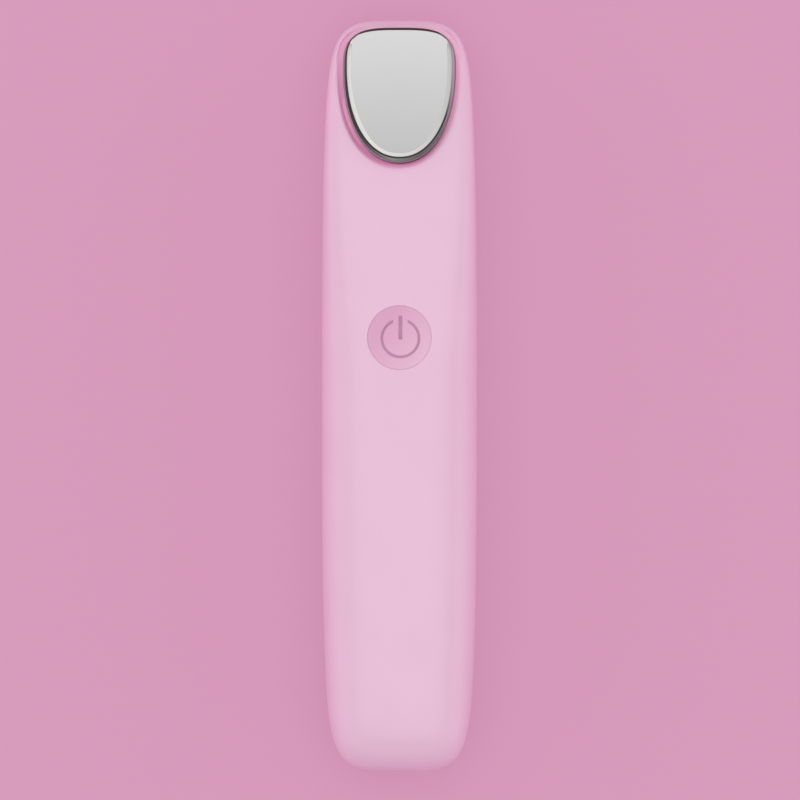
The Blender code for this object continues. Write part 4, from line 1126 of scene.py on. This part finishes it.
def make_inner_finishes():
    foil = {"scale": 350, "depth": 0.00003}
    by_slot = {
        "black_rubber": matte_rubber("black_rubber_finish", (0.02, 0.02, 0.02)),
        "white_plastic": plain_plastic("white_plastic_finish", (0.80, 0.80, 0.78)),
        "black_plastic": plain_plastic("black_plastic_finish", (0.03, 0.03, 0.03)),
        "board_green": circuit_green("board_green_finish"),
        "ceramic": bare_metal("silvered_ceramic", (0.75, 0.72, 0.62), 0.4),
        "ferrite": plain_plastic("ferrite_finish", (0.07, 0.07, 0.08), 0.6, 1200),
        "steel": bare_metal("plated_steel", (0.55, 0.55, 0.55), 0.3),
        "cell_foil": bare_metal("cell_foil_finish", (0.62, 0.64, 0.66), 0.34, **foil),
        "foam": plain_plastic("foam_finish", (0.10, 0.10, 0.11), 0.9, 900),
        "red_wire": plain_plastic("red_wire_finish", (0.55, 0.02, 0.02), 0.4),
        "black_wire": plain_plastic("black_wire_finish", (0.02, 0.02, 0.02), 0.4),
    }
    for part in frame["record"]["subparts"]:
        if part["material_slot"] in by_slot:
            materials = frame["nodes"][part["node"]].data.materials
            materials.clear()
            materials.append(by_slot[part["material_slot"]])


# Floor, lamps and camera


def add_object(data):
    made = bpy.data.objects.new(data.name, data)
    bpy.context.scene.collection.objects.link(made)
    return made


def new_lamp(name, place, size, radiance, glossy=True, aim=(0, 0, 0)):
    data = bpy.data.lights.new(name, "AREA")
    data.shape = "RECTANGLE"
    data.size, data.size_y = size
    data.energy = radiance * math.pi * size[0] * size[1]
    lamp = add_object(data)
    lamp.location = place
    lamp.rotation_euler = (Vector(aim) - Vector(place)).to_track_quat("-Z", "Y").to_euler()
    lamp.visible_camera = False
    lamp.visible_glossy = glossy


def mix_into(output, owner, factor, first, second):
    """Mixes two shaders into the output of a material or the world."""
    mix = add_node(owner, "MixShader")
    for source, socket in zip((factor, first, second), mix.inputs):
        link(source, socket)
    link(mix.outputs["Shader"], add_node(owner, output).inputs["Surface"])


def make_world():
    """A plain room for the light and the reflections, with the backdrop for the camera alone."""
    world = bpy.data.worlds.new("studio")
    bpy.context.scene.world = world
    world.use_nodes = True
    world.node_tree.nodes.clear()
    backdrop = (*chosen("colours").backdrop, 1)
    room = add_node(world, "Background", Color=(ROOM_LEVEL, ROOM_LEVEL, ROOM_LEVEL, 1))
    seen = add_node(world, "Background", Color=backdrop)
    from_camera = add_node(world, "LightPath").outputs["Is Camera Ray"]
    mix_into("OutputWorld", world, from_camera, room.outputs[0], seen.outputs[0])


def floor_finish():
    """Paper in the backdrop's colour, whose shadow is kept soft for the camera, metal and glass."""
    colour = (*chosen("colours").backdrop, 1)
    finish = bpy.data.materials.new("backdrop_paper")
    finish.use_nodes = True
    finish.node_tree.nodes.clear()
    paper = add_node(finish, "BsdfDiffuse", Color=colour)
    glow = add_node(finish, "Emission", Color=colour)
    rays = add_node(finish, "LightPath").outputs
    shown = rays["Is Camera Ray"]
    for ray in ("Is Glossy Ray", "Is Transmission Ray"):
        either = add_node(finish, "Math")
        either.operation = "MAXIMUM"
        link(shown, either.inputs[0])
        link(rays[ray], either.inputs[1])
        shown = either.outputs["Value"]
    share = add_node(finish, "Math")
    share.operation = "MULTIPLY"
    share.inputs[1].default_value = FLOOR_GLOW
    link(shown, share.inputs[0])
    mix_into("OutputMaterial", finish, share.outputs["Value"], paper.outputs[0], glow.outputs[0])
    return finish


def make_stage():
    stage = chosen("stage")
    start_clean()
    bpy.ops.mesh.primitive_plane_add(size=stage.floor_size, location=(0, 0, -FLOOR_DROP))
    floor = take_name("floor")
    floor.data.materials.append(floor_finish())
    make_world()
    new_lamp("overhead_softbox", (0.025, 0.05, 0.7), (1.09, 1.3), 0.85, aim=(0.025, 0.05, 0))
    new_lamp("key_upper_left", (-0.75, 0.55, 0.75), (0.45, 0.45), 0.8, False)
    for side, name in ((-1, "left"), (1, "right")):
        new_lamp(f"side_{name}", (side * LAMP_DISTANCE, 0, LAMP_HEIGHT), (1.6, 0.5), 1.35, False)
    for side, name in ((-1, "tail"), (1, "head")):
        new_lamp(f"end_{name}", (0, side * LAMP_DISTANCE, LAMP_HEIGHT), (1.2, 0.5), 0.6, False)
    data = bpy.data.cameras.new("camera")
    camera = add_object(data)
    camera.location = (stage.frame_across, stage.frame_along, stage.camera_height)
    distance = stage.camera_height - chosen("shell").parting
    data.lens = data.sensor_width * distance / stage.frame_width
    data.clip_start = stage.camera_height / 100
    bpy.context.scene.camera = camera
    bpy.context.scene.view_settings.view_transform = "Standard"


# Operators, panel and registration


class Step:
    """What the operators share."""

    bl_options = {"REGISTER", "UNDO"}


class MASSAGER_OT_front_shell(Step, bpy.types.Operator):
    """Builds the front shell with the plate's recess, the button's hole and half of the port"""

    bl_idname = "massager.front_shell"
    bl_label = "Front shell"

    def execute(self, context):
        make_front_shell()
        return {"FINISHED"}


class MASSAGER_OT_rear_shell(Step, bpy.types.Operator):
    """Builds the rear shell with its screw wells and half of the port"""

    bl_idname = "massager.rear_shell"
    bl_label = "Rear shell"

    def execute(self, context):
        make_rear_shell()
        return {"FINISHED"}


class MASSAGER_OT_plate(Step, bpy.types.Operator):
    """Builds the polished massage plate"""

    bl_idname = "massager.plate"
    bl_label = "Massage plate"

    def execute(self, context):
        make_plate()
        return {"FINISHED"}


class MASSAGER_OT_button(Step, bpy.types.Operator):
    """Builds the dished power button"""

    bl_idname = "massager.button"
    bl_label = "Power button"

    def execute(self, context):
        make_button()
        return {"FINISHED"}


class MASSAGER_OT_symbol(Step, bpy.types.Operator):
    """Prints the power symbol on the button"""

    bl_idname = "massager.symbol"
    bl_label = "Power symbol"

    def execute(self, context):
        make_symbol()
        return {"FINISHED"}


class MASSAGER_OT_socket(Step, bpy.types.Operator):
    """Builds the charging socket"""

    bl_idname = "massager.socket"
    bl_label = "Charging socket"

    def execute(self, context):
        make_socket()
        return {"FINISHED"}


class MASSAGER_OT_plugs(Step, bpy.types.Operator):
    """Builds the plugs that hide the screws"""

    bl_idname = "massager.plugs"
    bl_label = "Screw plugs"

    def execute(self, context):
        make_plugs()
        return {"FINISHED"}


class MASSAGER_OT_inner_finishes(Step, bpy.types.Operator):
    """Gives the inner pieces their finishes"""

    bl_idname = "massager.inner_finishes"
    bl_label = "Inner finishes"

    def execute(self, context):
        make_inner_finishes()
        return {"FINISHED"}


class MASSAGER_OT_stage(Step, bpy.types.Operator):
    """Sets up the floor, the lamps and the camera"""

    bl_idname = "massager.stage"
    bl_label = "Stage"

    def execute(self, context):
        make_stage()
        return {"FINISHED"}


GROUPS = {
    "massager_shell": ShellSizes,
    "massager_head": HeadSizes,
    "massager_button": ButtonSizes,
    "massager_colours": Colours,
    "massager_stage": StageSizes,
}
STEPS = (
    MASSAGER_OT_front_shell,
    MASSAGER_OT_rear_shell,
    MASSAGER_OT_plate,
    MASSAGER_OT_button,
    MASSAGER_OT_symbol,
    MASSAGER_OT_socket,
    MASSAGER_OT_plugs,
    MASSAGER_OT_inner_finishes,
    MASSAGER_OT_stage,
)


class MASSAGER_PT_sidebar(bpy.types.Panel):
    """Lists the sizes, the colours and the steps"""

    bl_idname = "MASSAGER_PT_sidebar"
    bl_label = "Eye massager"
    bl_space_type = "VIEW_3D"
    bl_region_type = "UI"
    bl_category = "Massager"

    def draw(self, context):
        for name, group in GROUPS.items():
            box = self.layout.box()
            for field in group.__annotations__:
                box.prop(getattr(context.scene, name), field)
        for step in STEPS:
            self.layout.operator(step.bl_idname)


def register():
    for made in (*GROUPS.values(), *STEPS, MASSAGER_PT_sidebar):
        bpy.utils.register_class(made)
    for name, group in GROUPS.items():
        setattr(bpy.types.Scene, name, PointerProperty(type=group))


def unregister():
    for name in GROUPS:
        delattr(bpy.types.Scene, name)
    for made in reversed((*GROUPS.values(), *STEPS, MASSAGER_PT_sidebar)):
        bpy.utils.unregister_class(made)


def main():
    register()
    for step in STEPS:
        getattr(bpy.ops.massager, step.bl_idname.split(".")[1])()


if __name__ == "__main__":
    main()
